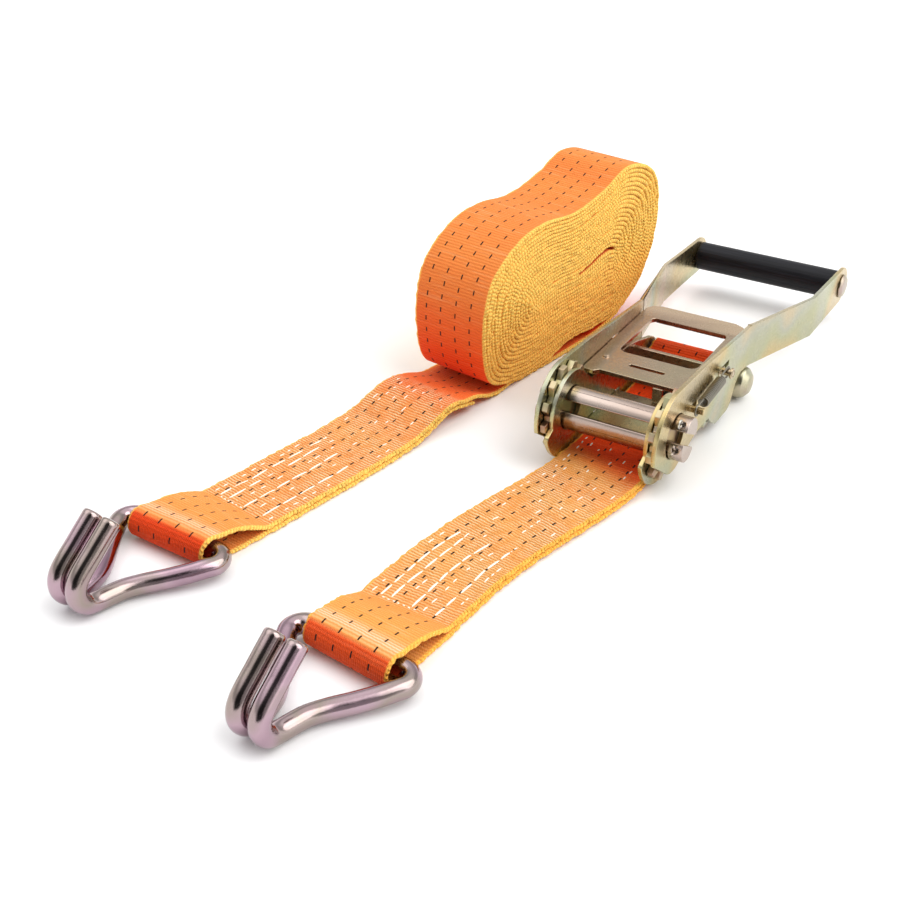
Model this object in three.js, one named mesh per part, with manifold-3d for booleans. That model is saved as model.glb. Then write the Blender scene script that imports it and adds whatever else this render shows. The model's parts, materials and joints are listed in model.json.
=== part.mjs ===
// Ratchet tie down for 50 mm webbing: a long-lever ratchet, a short sewn strap with a claw hook,
// and a long strap with its own claw hook, wound into a roll that stands on its outer turn.
// Millimetres, +Z up. Inside this file the drum axis is the line x = any, y = 0, z = AXIS_Z, the
// handle points to +Y and the hooks to -Y. The group is moved at the end so that its origin is the
// middle of the underside of the whole object.
import * as THREE from "three";
import { mergeVertices } from "three/addons/utils/BufferGeometryUtils.js";
import Module from "manifold-3d";

const wasm = await Module();
wasm.setup();

// ---- driving dimensions ------------------------------------------------------------------------
const GAP = 0.35;              // clearance between touching pieces
const AXIS_Z = 28.5;           // height of the drum axis over the floor
const FRAME_IN = 26;           // inner half width of the frame
const FRAME_T = 2.4;           // frame plate
const WHEEL_T = 3.4;           // toothed wheel
const ARM_T = 2.4;             // handle arm plate
const RUN = 0.4;               // side play between neighbouring plates
const WHEEL_X = FRAME_IN + FRAME_T + RUN;
const ARM_X = WHEEL_X + WHEEL_T + RUN;
const ARM_OUT = ARM_X + ARM_T;
const BORE_R = 12.7;           // round hole that the drum turns in
const LOBE_R = AXIS_Z;         // front lobe of the frame, which stands on the floor
const CAM_R = 21.5;            // frame edge around the drum
const TEETH = 12;
const TIP_R = 25;
const ROOT_R = 20.3;
const DRUM = { flat: 3.2, centre: 3.9, r: 8.3, turn: 60, end: 43 };
const PIN_X = 39.2;            // cotter pins through the drum ends
const BOLT = { y: 107, z: 10.5, r: 5, head: 10 };
const WEB_Y = 82;              // cross web of the frame
const ARM_LOBE = 26.5;
const BEND_1 = 108;            // the arms splay from here ...
const BEND_2 = 180;            // ... to here
const SPLAY = 15;
const GRIP = { y: 238, z: 24.5, r: 9.2, end: 12 };
const PAWL = { y: 24, z: 37.8, t: 2.6, half: 32.2, earY: 62, travel: 8 };
const LOCK = { y: 18.4, z: 7.5, t: 3, travel: 5 };
const POST = { y: 19.4, z: 35.8 };       // pressed out of the arm, clear of the cotter pins' sweep
const SPRING_X = ARM_OUT + 3.6;
const BELT_W = 50;             // webbing width
const BELT_T = 2.4;            // one layer
const WIRE_R = 5;              // hook wire
const HOOK_Z = WIRE_R + BELT_T + 2 * GAP;
const HOOK_EYE = { ahead: 2.5, z: 8.95, r: 6.3 };

// ---- making and joining solids -----------------------------------------------------------------
function solid(geometry) {
  const bare = geometry.clone();
  for (const name of Object.keys(bare.attributes)) {
    if (name !== "position") bare.deleteAttribute(name);
  }
  const merged = mergeVertices(bare, 1e-4);
  return new wasm.Manifold(new wasm.Mesh({
    numProp: 3,
    vertProperties: Float32Array.from(merged.attributes.position.array),
    triVerts: Uint32Array.from(merged.index.array),
  }));
}

function geometryOf(body) {
  const mesh = body.getMesh();
  const geometry = new THREE.BufferGeometry();
  geometry.setAttribute("position", new THREE.BufferAttribute(mesh.vertProperties, 3));
  geometry.setIndex(new THREE.BufferAttribute(mesh.triVerts, 1));
  return geometry;
}

const joined = (...bodies) => bodies.reduce((a, b) => a.add(b));
const cut = (body, ...tools) => tools.reduce((a, b) => a.subtract(b), body);

function box(x0, x1, y0, y1, z0, z1) {
  const geometry = new THREE.BoxGeometry(x1 - x0, y1 - y0, z1 - z0);
  geometry.translate((x0 + x1) / 2, (y0 + y1) / 2, (z0 + z1) / 2);
  return solid(geometry);
}

function rodX(r, x0, x1, y, z, sides = 32) {
  const geometry = new THREE.CylinderGeometry(r, r, x1 - x0, sides);
  geometry.rotateZ(Math.PI / 2);
  geometry.translate((x0 + x1) / 2, y, z);
  return solid(geometry);
}

// A (y, z) outline given thickness along X.
function plateX(outline, x0, x1, segments = 16) {
  const options = { depth: x1 - x0, bevelEnabled: false, curveSegments: segments };
  const geometry = new THREE.ExtrudeGeometry(outline, options);
  const basis = new THREE.Matrix4().set(0, 0, 1, x0, 1, 0, 0, 0, 0, 1, 0, 0, 0, 0, 0, 1);
  geometry.applyMatrix4(basis);
  return solid(geometry);
}

// An (x, y) outline given thickness along Z.
function plateZ(outline, z0, z1, segments = 12) {
  const options = { depth: z1 - z0, bevelEnabled: false, curveSegments: segments };
  const geometry = new THREE.ExtrudeGeometry(outline, options);
  geometry.translate(0, 0, z0);
  return solid(geometry);
}

// A full circle gets two points for each curve segment.
function tube(curve, radius, steps, corners) {
  const ring = new THREE.Shape().absarc(0, 0, radius, 0, 2 * Math.PI);
  const options = { steps, bevelEnabled: false, extrudePath: curve, curveSegments: corners / 2 };
  return solid(new THREE.ExtrudeGeometry(ring, options));
}

// A closed body through rings of equally many points, with flat ends. Rings may run either way.
function loft(given) {
  const [p, q, r] = given[0];
  const normal = q.clone().sub(p).cross(r.clone().sub(p));
  const ahead = given[1][0].clone().sub(p);
  const rings = normal.dot(ahead) > 0 ? given : given.map((ring) => [...ring].reverse());
  const count = rings[0].length;
  const positions = rings.flat().flatMap((p) => [p.x, p.y, p.z]);
  const index = [];
  for (let i = 0; i + 1 < rings.length; i++) {
    for (let j = 0; j < count; j++) {
      const a = i * count + j;
      const b = i * count + (j + 1) % count;
      index.push(a, b, b + count, a, b + count, a + count);
    }
  }
  const last = (rings.length - 1) * count;
  for (let j = 1; j + 1 < count; j++) {
    index.push(0, j + 1, j, last, last + j, last + j + 1);
  }
  const geometry = new THREE.BufferGeometry();
  geometry.setAttribute("position", new THREE.Float32BufferAttribute(positions, 3));
  geometry.setIndex(index);
  return solid(geometry);
}

const at = (x, y, z) => new THREE.Vector3(x, y, z);
const polar = (r, degrees) => {
  const a = THREE.MathUtils.degToRad(degrees);
  return [r * Math.cos(a), AXIS_Z + r * Math.sin(a)];
};
const mirrored = (body) => body.mirror([1, 0, 0]);
const sides = { left: mirrored, right: (body) => body };

// ---- materials ---------------------------------------------------------------------------------
const finish = (color, roughness, metalness) => ({ color, roughness, metalness });
const ZINC = finish(0xc9bd8a, 0.32, 0.9);
const WHEEL = finish(0xb9ae86, 0.38, 0.9);
const STEEL = finish(0xb4b2ae, 0.3, 0.95);
const SPRING = finish(0x4a463c, 0.45, 0.85);
const HOOK = finish(0xb7a4ab, 0.22, 0.95);
const PLASTIC = finish(0x17171a, 0.45, 0);
const BELT = finish(0xf0781e, 0.85, 0);
const ROLL = finish(0xf2992e, 0.85, 0);

const group = new THREE.Group();
function addPart(name, body, material) {
  const mesh = new THREE.Mesh(geometryOf(body), new THREE.MeshStandardMaterial(material));
  mesh.name = name;
  group.add(mesh);
}

// ---- frame: two plates with a front lobe each, joined by a cross web ----------------------------
function framePlate() {
  const s = new THREE.Shape();
  const lobe = (d) => THREE.MathUtils.degToRad(d);
  s.moveTo(...polar(CAM_R, 40));
  s.absarc(0, AXIS_Z, CAM_R, lobe(40), lobe(190), false);
  s.lineTo(...polar(LOBE_R - 3, 193));
  s.quadraticCurveTo(...polar(LOBE_R + 0.3, 194), ...polar(LOBE_R, 200));
  s.absarc(0, AXIS_Z, LOBE_R, lobe(200), lobe(292), false);
  s.lineTo(24, 2.6);
  s.lineTo(BOLT.y - 18, 2.6);
  s.quadraticCurveTo(BOLT.y - 14, 0, BOLT.y - 8, 0);
  s.lineTo(BOLT.y + 4, 0);
  s.quadraticCurveTo(BOLT.y + 13, 1, BOLT.y + 13, BOLT.z);
  s.quadraticCurveTo(BOLT.y + 12, BOLT.z + 12, BOLT.y - 2, BOLT.z + 15);
  s.lineTo(WEB_Y + 6, 30.5);
  s.lineTo(WEB_Y - 8, 33.5);
  s.lineTo(31, 36);
  s.lineTo(25.5, 35);
  s.closePath();
  return s;
}

function framePart() {
  const plate = plateX(framePlate(), FRAME_IN, FRAME_IN + FRAME_T, 12);
  const lockZ = [LOCK.z - GAP, LOCK.z + LOCK.t + GAP];
  const openings = [
    rodX(BORE_R, FRAME_IN - 1, FRAME_IN + FRAME_T + 1, 0, AXIS_Z),
    rodX(BOLT.r + GAP, FRAME_IN - 1, FRAME_IN + FRAME_T + 1, BOLT.y, BOLT.z, 24),
    box(FRAME_IN - 1, FRAME_IN + FRAME_T + 1, LOCK.y - 1.6, 30.5 + LOCK.travel + GAP, ...lockZ),
    box(FRAME_IN - 1, FRAME_IN + FRAME_T + 1, 49.5, 60.5 + LOCK.travel + GAP, ...lockZ),
  ];
  const right = cut(plate, ...openings);
  const web = box(-FRAME_IN - 0.4, FRAME_IN + 0.4, WEB_Y - 1.4, WEB_Y + 1.4, 9.5, 30);
  const peg = (() => {
    const geometry = new THREE.CylinderGeometry(2, 2, 9, 20);
    geometry.translate(0, WEB_Y - 5, 14.5);
    return solid(geometry);
  })();
  return joined(right, mirrored(right), web, peg);
}

// ---- drum: two half-round bars, and a toothed wheel on each side --------------------------------
const turned = (body, degrees) => body.translate([0, 0, -AXIS_Z]).rotate([degrees, 0, 0])
  .translate([0, 0, AXIS_Z]);

function halfMoonShape(grow = 0) {
  const r = DRUM.r + grow;
  const rise = Math.asin((DRUM.centre - DRUM.flat + grow) / r);
  const s = new THREE.Shape();
  s.absarc(DRUM.centre, 0, r, -Math.PI / 2 - rise, Math.PI / 2 + rise, false);
  s.closePath();
  return s;
}

function halfMoon(x0, x1, grow = 0) {
  return plateX(halfMoonShape(grow), x0, x1, 20).translate([0, 0, AXIS_Z]);
}

function pinHole(x) {
  const geometry = new THREE.CylinderGeometry(1.75, 1.75, 30, 20);
  geometry.rotateX(Math.PI / 2);
  geometry.translate(x, DRUM.centre + 3.1, AXIS_Z);
  return solid(geometry);
}

const drumHalf = () => cut(halfMoon(-DRUM.end, DRUM.end), pinHole(PIN_X), pinHole(-PIN_X));

function wheelPart() {
  const s = new THREE.Shape();
  const step = 360 / TEETH;
  for (let i = 0; i < TEETH; i++) {
    const a = i * step;
    const corners = [[ROOT_R, a], [TIP_R, a + 2], [TIP_R, a + 0.42 * step], [ROOT_R, a + 0.72 * step]];
    for (const [r, d] of corners) {
      const p = new THREE.Vector2(r, 0).rotateAround(new THREE.Vector2(), THREE.MathUtils.degToRad(d));
      if (i === 0 && r === ROOT_R && d === 0) s.moveTo(p.x, p.y);
      else s.lineTo(p.x, p.y);
    }
  }
  s.closePath();
  const disc = plateX(s, WHEEL_X, WHEEL_X + WHEEL_T).translate([0, 0, AXIS_Z]);
  const slot = halfMoon(WHEEL_X - 1, WHEEL_X + WHEEL_T + 1, 0.12);
  return cut(disc, turned(slot, DRUM.turn), turned(slot, DRUM.turn + 180));
}

// A split pin along Z: a round eye, a stem in the drum's hole, and two legs spread at the far end.
function cotterPin(x) {
  const ring = cut(rodX(2.6, -0.7, 0.7, 0, 11.2, 16), rodX(1.2, -1, 1, 0, 11.2, 12));
  const stem = new THREE.CylinderGeometry(1.25, 1.25, 18.2, 12);
  stem.rotateX(Math.PI / 2);
  stem.translate(0, 0, 0.3);
  const leg = (sign) => loft([[0.6, -8], [1.9, -12.4]].map(([y, z]) => [
    at(-0.6, sign * (y - 0.5), z), at(0.6, sign * (y - 0.5), z), at(0.6, sign * (y + 0.5), z),
    at(-0.6, sign * (y + 0.5), z)]));
  return joined(solid(stem), ring, leg(1), leg(-1)).translate([x, DRUM.centre + 3.1, AXIS_Z]);
}

// ---- handle ------------------------------------------------------------------------------------
function armFront() {
  const rad = THREE.MathUtils.degToRad;
  const s = new THREE.Shape();
  s.moveTo(...polar(ARM_LOBE, 92));
  s.absarc(0, AXIS_Z, ARM_LOBE, rad(92), rad(193), false);
  s.lineTo(-21.5, 19.5);
  s.lineTo(-7, 8.5);
  s.quadraticCurveTo(-3, 6, 4, 6.5);
  s.lineTo(30, 14.5);
  s.lineTo(50, 14.5);
  s.quadraticCurveTo(58, 5, 64, 5);
  s.lineTo(78, 5);
  s.quadraticCurveTo(84, 5.5, 87, 12);
  s.quadraticCurveTo(91, 21.5, 99, 21.8);
  s.lineTo(BEND_1 + 0.5, 21);
  s.lineTo(BEND_1 + 0.5, 47);
  s.lineTo(70, 50.2);
  s.lineTo(35, 53.5);
  s.closePath();
  return s;
}

function armRear() {
  const stations = [[BEND_1, 21.05, 47.05]];
  for (let i = 1; i <= 6; i++) {
    const t = i / 6;
    stations.push([BEND_1 + (BEND_2 - BEND_1) * t, 21 - 7.5 * t, 47 - 7.5 * t]);
  }
  stations.push([212, 13.4, 37.6]);
  for (let degrees = 0; degrees <= 84; degrees += 12) {
    const a = THREE.MathUtils.degToRad(degrees);
    const half = GRIP.end * Math.cos(a);
    stations.push([GRIP.y + GRIP.end * Math.sin(a), GRIP.z - half, GRIP.z + half]);
  }
  const offset = (y) => SPLAY * THREE.MathUtils.clamp((y - BEND_1) / (BEND_2 - BEND_1), 0, 1);
  return loft(stations.map(([y, low, high]) => {
    const x = ARM_X + offset(y);
    return [at(x, y, low), at(x, y, high), at(x + ARM_T, y, high), at(x + ARM_T, y, low)];
  }));
}

function armPart() {
  const front = plateX(armFront(), ARM_X, ARM_OUT, 12);
  const post = box(ARM_OUT - 1, ARM_OUT + 7.5, POST.y - 1.2, POST.y + 1.2, POST.z - 1.6, POST.z + 1.6);
  const slotZ = [PAWL.z - GAP, PAWL.z + PAWL.t + GAP];
  const slotY = [PAWL.earY - 4.4, PAWL.earY + 4.4 + PAWL.travel];
  return cut(joined(front, armRear(), post),
    rodX(BORE_R, ARM_X - 1, ARM_OUT + 1, 0, AXIS_Z),
    box(ARM_X - 1, ARM_OUT + 1, ...slotY, ...slotZ),
    box(ARM_X - 1, ARM_OUT + 1, POST.y + 1.2, POST.y + 8.4, POST.z - 1.9, POST.z + 1.9),
    rodX(4 + GAP, ARM_X + SPLAY - 1, ARM_OUT + SPLAY + 1, GRIP.y, GRIP.z, 20));
}

function gripPart() {
  const inner = ARM_X + SPLAY - RUN;
  const profile = [[4 + GAP, -inner], [GRIP.r - 0.6, -inner], [GRIP.r, -inner + 0.8],
    [GRIP.r, inner - 0.8], [GRIP.r - 0.6, inner], [4 + GAP, inner], [4 + GAP, -inner]];
  const geometry = new THREE.LatheGeometry(profile.map(([r, y]) => new THREE.Vector2(r, y)), 32);
  geometry.rotateZ(-Math.PI / 2);
  geometry.translate(0, GRIP.y, GRIP.z);
  return solid(geometry);
}

function gripAxle() {
  const face = ARM_OUT + SPLAY + GAP;
  const side = [[4, face], [7.6, face], [7.6, face + 0.8], [6, face + 2.1], [0, face + 2.6]];
  const profile = side.map(([r, x]) => new THREE.Vector2(r, x));
  const other = side.map(([r, x]) => new THREE.Vector2(r, -x)).reverse();
  const geometry = new THREE.LatheGeometry([...other, ...profile], 24);
  geometry.rotateZ(-Math.PI / 2);
  geometry.translate(0, GRIP.y, GRIP.z);
  return solid(geometry);
}

// ---- sprung slide plates -----------------------------------------------------------------------
// A rectangle with rounded corners, centred on x = 0.
function roundedWindow(x, y0, y1, r) {
  const s = new THREE.Shape();
  s.absarc(x - r, y0 + r, r, -Math.PI / 2, 0, false);
  s.absarc(x - r, y1 - r, r, 0, Math.PI / 2, false);
  s.absarc(-x + r, y1 - r, r, Math.PI / 2, Math.PI, false);
  s.absarc(-x + r, y0 + r, r, Math.PI, 1.5 * Math.PI, false);
  s.closePath();
  return s;
}

// The flat plate, set back in front between the frame plates, and round its rear the finger bar,
// which curls up a little and has rounded corners.
function drivePawl() {
  const { half: w, y: front, z, t } = PAWL;
  const s = new THREE.Shape();
  s.moveTo(-w, front);
  s.lineTo(-w + 7, front);
  s.lineTo(-w + 9.5, front + 3);
  s.lineTo(w - 9.5, front + 3);
  s.lineTo(w - 7, front);
  s.lineTo(w, front);
  s.lineTo(w, 103);
  s.lineTo(-w, 103);
  s.closePath();
  const plate = cut(plateZ(s, z, z + t),
    plateZ(roundedWindow(23.5, 53, 102.8, 5), z - 1, z + t + 1),
    plateZ(roundedWindow(10.5, 38.6, 41.4, 1.3), z - 1, z + t + 1));
  const stations = [-90, -60, -35, 0, 35, 60, 90].map((degrees) => {
    const a = THREE.MathUtils.degToRad(degrees);
    return [Math.sign(a) * (w - 9) + 9 * Math.sin(a), 105.4 + 9 * Math.cos(a)];
  }).flatMap(([x, rear]) => (x === 0 ? [[-w + 9, rear], [w - 9, rear]] : [[x, rear]]));
  const lip = loft(stations.map(([x, rear]) => {
    const rise = 2.4 * (rear - 102) / 12.4;
    return [at(x, 102, z), at(x, rear, z + rise), at(x, rear, z + t + rise), at(x, 102, z + t)];
  }));
  const boss = new THREE.CylinderGeometry(1.7, 1.9, 1.4, 16);
  boss.rotateX(Math.PI / 2);
  boss.translate(-26, 42.5, z + t + 0.4);
  const root = box(w - 1, ARM_OUT + 0.6, PAWL.earY - 4, PAWL.earY + 4, z, z + t);
  const peg = rodX(2, ARM_OUT, ARM_OUT + 7.2, PAWL.earY, z + t / 2, 16);
  const flange = rodX(3.1, ARM_OUT + 5.6, ARM_OUT + 7, PAWL.earY, z + t / 2, 20);
  const ear = joined(root, peg, flange);
  return joined(plate, lip, solid(boss), ear, mirrored(ear));
}

function framePawl() {
  const z = [LOCK.z, LOCK.z + LOCK.t];
  const front = box(-WHEEL_X - WHEEL_T, WHEEL_X + WHEEL_T, LOCK.y, 30.5, ...z);
  const body = box(-FRAME_IN + GAP, FRAME_IN - GAP, 29, 61, ...z);
  const ears = box(-WHEEL_X - WHEEL_T, WHEEL_X + WHEEL_T, 50, 60, ...z);
  const post = box(-3, 3, 58.4, 61, LOCK.z, 19);
  return joined(front, body, ears, post);
}

class Helix extends THREE.Curve {
  constructor(radius, length, turns) {
    super();
    Object.assign(this, { radius, length, turns });
  }

  getPoint(t, target = new THREE.Vector3()) {
    const a = 2 * Math.PI * this.turns * t;
    return target.set(this.radius * Math.cos(a), this.length * t, this.radius * Math.sin(a));
  }
}

// Extension spring with an open ring at each end, one ring on the arm's post and one on the ear.
function pullSpring() {
  const a = at(SPRING_X, POST.y, POST.z);
  const b = at(SPRING_X, PAWL.earY, PAWL.z + PAWL.t / 2);
  const direction = b.clone().sub(a).normalize();
  const up = at(0, -direction.z, direction.y);
  const place = (along, out, rise) => a.clone().addScaledVector(direction, along)
    .addScaledVector(at(1, 0, 0), out).addScaledVector(up, rise);
  const span = a.distanceTo(b);
  const ring = (centre, from, to, sign) => [0, 1, 2, 3, 4, 5].map((i) => {
    const angle = THREE.MathUtils.degToRad(from + (to - from) * i / 5);
    return place(centre + sign * 3 * Math.cos(angle), 0, 3 * Math.sin(angle));
  });
  const points = ring(0, -150, 60, -1);
  const turns = 8;
  const perTurn = 10;
  const first = 8;
  const last = span - 9;
  for (let i = 0; i <= turns * perTurn; i++) {
    const angle = 2 * Math.PI * i / perTurn + Math.PI / 2;
    const along = first + (last - first) * i / (turns * perTurn);
    points.push(place(along, 2.5 * Math.cos(angle), 2.5 * Math.sin(angle)));
  }
  points.push(...ring(span, 120, -120, 1));
  const curve = new THREE.CatmullRomCurve3(points, false, "centripetal");
  return tube(curve, 0.55, 100, 4);
}

function pushSpring() {
  const y0 = 61 + GAP;
  const y1 = WEB_Y - 1.4 - GAP;
  const body = tube(new Helix(3.4, y1 - y0 - 1.6, 5), 0.7, 50, 4);
  return body.translate([0, y0 + 0.8, 14.5]);
}

// ---- rear bolt ---------------------------------------------------------------------------------
function rearBolt() {
  const face = FRAME_IN + FRAME_T + GAP;
  const profile = [[0, -face - 8.5], [BOLT.r - 0.6, -face - 8.5], [BOLT.r, -face - 7.9],
    [BOLT.r, face], [BOLT.head, face], [BOLT.head, face + 3.4], [8.8, face + 7],
    [5.6, face + 9.8], [0, face + 10.8]];
  const points = profile.map(([r, y]) => new THREE.Vector2(r, y));
  const geometry = new THREE.LatheGeometry(points, 28);
  geometry.rotateZ(-Math.PI / 2);
  geometry.translate(0, BOLT.y, BOLT.z);
  return solid(geometry);
}

function rearNut() {
  const face = FRAME_IN + FRAME_T + GAP;
  const hex = rodX(8.6, -face - 6.6, -face, BOLT.y, BOLT.z, 6);
  return cut(hex, rodX(BOLT.r + 0.1, -face - 8, -face + 1, BOLT.y, BOLT.z));
}

// ---- webbing -----------------------------------------------------------------------------------
// A strap's centre line on the floor, and the frame along it.
class Route {
  constructor(points, skew = 0) {
    this.skew = skew;          // degrees by which the fold at the hook is out of square
    this.curve = new THREE.CatmullRomCurve3(points.map(([x, y]) => at(x, y, 0)), false, "centripetal");
    this.length = this.curve.getLength();
  }

  place(s, across, z) {
    const t = THREE.MathUtils.clamp(s / this.length, 0, 1);
    const point = this.curve.getPointAt(t);
    const along = this.curve.getTangentAt(t);
    const over = s - t * this.length;
    return at(point.x + along.x * over + along.y * across, point.y + along.y * over - along.x * across, z);
  }
}

// A flat stretch of webbing from s0 to s1; low and high give its underside and top at s.
function flatBelt(route, s0, s1, low, high, steps) {
  const rings = [];
  for (let i = 0; i <= steps; i++) {
    const s = s0 + (s1 - s0) * i / steps;
    const w = BELT_W / 2;
    rings.push([route.place(s, -w, low(s)), route.place(s, w, low(s)),
      route.place(s, w, high(s)), route.place(s, -w, high(s))]);
  }
  return loft(rings);
}

// The sewn eye at an end of a strap: a drop-shaped loop round a bar at height z, drawn from s = 0,
// where the layers part, to the bar at s = reach. It starts inside the flat stretch and is a little
// narrower, so that the two meet without a shared face.
const EYE_INSET = 0.15;

function eyeShape(reach, z, hole, floor) {
  const outer = hole + BELT_T;
  const s = new THREE.Shape();
  s.moveTo(-0.6, floor + EYE_INSET);
  s.lineTo(reach, z - outer);
  s.absarc(reach, z, outer, -Math.PI / 2, Math.PI / 2 + 0.35, false);
  s.lineTo(-0.6, floor + 2 * BELT_T - EYE_INSET);
  s.closePath();
  const gap = new THREE.Path();
  gap.moveTo(5, floor + BELT_T + 0.05);
  gap.lineTo(reach, z - hole);
  gap.absarc(reach, z, hole, -Math.PI / 2, Math.PI / 2 + 0.3, false);
  gap.closePath();
  s.holes.push(gap);
  return s;
}

function placedEye(shape, route, s, backwards) {
  const width = BELT_W - 2 * EYE_INSET;
  const options = { depth: width, bevelEnabled: false, curveSegments: 12 };
  const geometry = new THREE.ExtrudeGeometry(shape, options);
  if (backwards) {
    const lean = Math.tan(THREE.MathUtils.degToRad(route.skew));
    const p = geometry.getAttribute("position");
    for (let i = 0; i < p.count; i++) {
      const share = THREE.MathUtils.clamp(p.getX(i) / EYE_REACH, 0, 1);
      p.setX(i, p.getX(i) + (width / 2 - p.getZ(i)) * lean * share);
    }
  }
  const origin = route.place(s, 0, 0);
  const ahead = route.place(s + (backwards ? -1 : 1), 0, 0).sub(origin);
  const side = at(ahead.y, -ahead.x, 0);
  const start = origin.clone().addScaledVector(side, -width / 2);
  const basis = new THREE.Matrix4().makeBasis(ahead, at(0, 0, 1), side).setPosition(start);
  geometry.applyMatrix4(basis);
  return solid(geometry);
}

const FLOOR = 0.2;
const EYE_REACH = 36;          // from where the two layers part to the hook's bar
const SLACK = { back: 3, z: 11.6, r: 8.7 };   // the loose eye round the bolt: its middle and hole
const shortRoute = new Route([[-26.4, -207.6], [-25.7, -186], [-24.9, -160], [-22.4, -126], [-16.6, -92],
  [-8, -58], [-2, -30], [0, -6], [0, 30], [0, 70], [0, BOLT.y]], 3.8);
const longRoute = new Route([[-150.6, -180.6], [-148, -163], [-144.3, -142], [-138.5, -110],
  [-132, -75], [-126.5, -38], [-123, -10], [-119.2, 18], [-115.2, 46], [-108.7, 94], [-102.2, 142]], -4.5);

function shortStrap() {
  const front = EYE_REACH;
  const rear = shortRoute.length - 26;
  const low = (s) => FLOOR + 0.9 * Math.sin(Math.PI * (s - front) / (rear - front)) ** 2;
  const flat = flatBelt(shortRoute, front, rear, low, (s) => low(s) + 2 * BELT_T, 34);
  const hookEye = eyeShape(front + HOOK_EYE.ahead, HOOK_EYE.z, HOOK_EYE.r, FLOOR);
  const boltEye = eyeShape(26 + SLACK.back, SLACK.z, SLACK.r, FLOOR);
  return joined(flat, placedEye(hookEye, shortRoute, front, true),
    placedEye(boltEye, shortRoute, rear, false));
}

const SEWN_END = 200;          // the long strap is doubled up to here
const LONG_END = 330;          // and one layer lies under the roll up to here

function longStrap() {
  const front = EYE_REACH;
  const hump = (s) => 7 * Math.exp(-(((s - 180) / 23) ** 2));
  const low = (s) => FLOOR + hump(s);
  const doubled = flatBelt(longRoute, front, SEWN_END, low, (s) => low(s) + 2 * BELT_T, 24);
  const single = flatBelt(longRoute, SEWN_END - 0.5, LONG_END, low, (s) => low(s) + BELT_T, 16);
  const hookEye = eyeShape(front + HOOK_EYE.ahead, HOOK_EYE.z, HOOK_EYE.r, FLOOR);
  return joined(doubled, single, placedEye(hookEye, longRoute, front, true));
}

// The roll's side outline, from its foremost point along the floor: two round ends and a waist.
const ROLL_POINTS = [[38, 4.2], [13.5, 16], [1.5, 44], [9, 74], [33, 91.5], [58, 95.5], [92, 92],
  [122, 97], [150, 104.5], [178.6, 93], [189, 64], [178, 30], [148, 8.5], [118, 6.8], [92, 8.4],
  [64, 3.9]];
const ROLL_TURN = -7.7;
const ROLL_START = { x: -117, y: 20.6 };

function strapRoll() {
  const curve = new THREE.CatmullRomCurve3(ROLL_POINTS.map(([y, z]) => at(y, z, 0)), true, "centripetal");
  const outline = new THREE.Shape(curve.getPoints(96).map((p) => new THREE.Vector2(p.x, p.y)));
  const body = plateX(outline, -BELT_W / 2, BELT_W / 2);
  return body.rotate([0, 0, ROLL_TURN]).translate([ROLL_START.x, ROLL_START.y, 0.2]);
}

// ---- claw hooks --------------------------------------------------------------------------------
// One wire: from a prong's tip down round the claw, along a leg, across the bar, and back to the
// other tip. Drawn with the bar's middle at the origin and the claw pointing to -Y, then turned so
// that the bar lies in the eye at the front of its strap.
function clawHook(route) {
  const start = route.place(EYE_REACH, 0, 0);
  const ahead = route.place(EYE_REACH - 1, 0, 0).sub(start);
  const bar = start.clone().addScaledVector(ahead, EYE_REACH);
  const turn = THREE.MathUtils.radToDeg(Math.atan2(ahead.x, -ahead.y)) - route.skew;
  const bend = [130, 100, 70, 35, 0].map((degrees) => {
    const a = THREE.MathUtils.degToRad(degrees);
    return [6.1, -59 - 10.4 * Math.sin(a), 7.6 - 10.4 * Math.cos(a)];
  });
  const claw = [[6.1, -43, 34.2], [6.1, -56.2, 23.6], ...bend, [7.5, -52, -2.8]];
  const leg = [[9.3, -45.2, -2.7], [13.7, -37.4, -2.4], [20.8, -28, -1.8], [27.5, -18.7, -0.9]];
  const corner = [-38, -16, 6, 28, 50, 72].map((degrees) => {
    const a = THREE.MathUtils.degToRad(degrees);
    return [26 + 7.2 * Math.cos(a), -7.2 + 7.2 * Math.sin(a), -0.25 * Math.cos(a)];
  });
  const half = [...claw, ...leg, ...corner, [25.5, 0, 0], [13, 0, 0]];
  const right = half.map(([a, b, c]) => at(a, b, c));
  const left = half.map(([a, b, c]) => at(-a, b, c)).reverse();
  const curve = new THREE.CatmullRomCurve3([...right, ...left], false, "centripetal");
  return tube(curve, WIRE_R, 72, 10).rotate([0, 0, turn]).translate([bar.x, bar.y, HOOK_Z]);
}

// ---- the assembly ------------------------------------------------------------------------------
addPart("frame", framePart(), ZINC);
addPart("drum_half_upper", turned(drumHalf(), DRUM.turn), STEEL);
addPart("drum_half_lower", turned(drumHalf(), DRUM.turn + 180), STEEL);
for (const [side, place] of Object.entries(sides)) {
  addPart(`ratchet_wheel_${side}`, place(wheelPart()), WHEEL);
  addPart(`handle_arm_${side}`, place(armPart()), ZINC);
  addPart(`drive_pawl_spring_${side}`, place(pullSpring()), SPRING);
  addPart(`cotter_pin_upper_${side}`, place(turned(cotterPin(PIN_X), DRUM.turn)), STEEL);
  addPart(`cotter_pin_lower_${side}`, place(turned(cotterPin(PIN_X), DRUM.turn + 180)), STEEL);
}
addPart("grip", gripPart(), PLASTIC);
addPart("grip_axle", gripAxle(), STEEL);
addPart("drive_pawl", drivePawl(), ZINC);
addPart("frame_pawl", framePawl(), ZINC);
addPart("frame_pawl_spring", pushSpring(), SPRING);
addPart("rear_bolt", rearBolt(), STEEL);
addPart("rear_nut", rearNut(), STEEL);
addPart("short_strap", shortStrap(), BELT);
addPart("long_strap", longStrap(), BELT);
addPart("strap_roll", strapRoll(), ROLL);
addPart("hook_short", clawHook(shortRoute), HOOK);
addPart("hook_long", clawHook(longRoute), HOOK);

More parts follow.
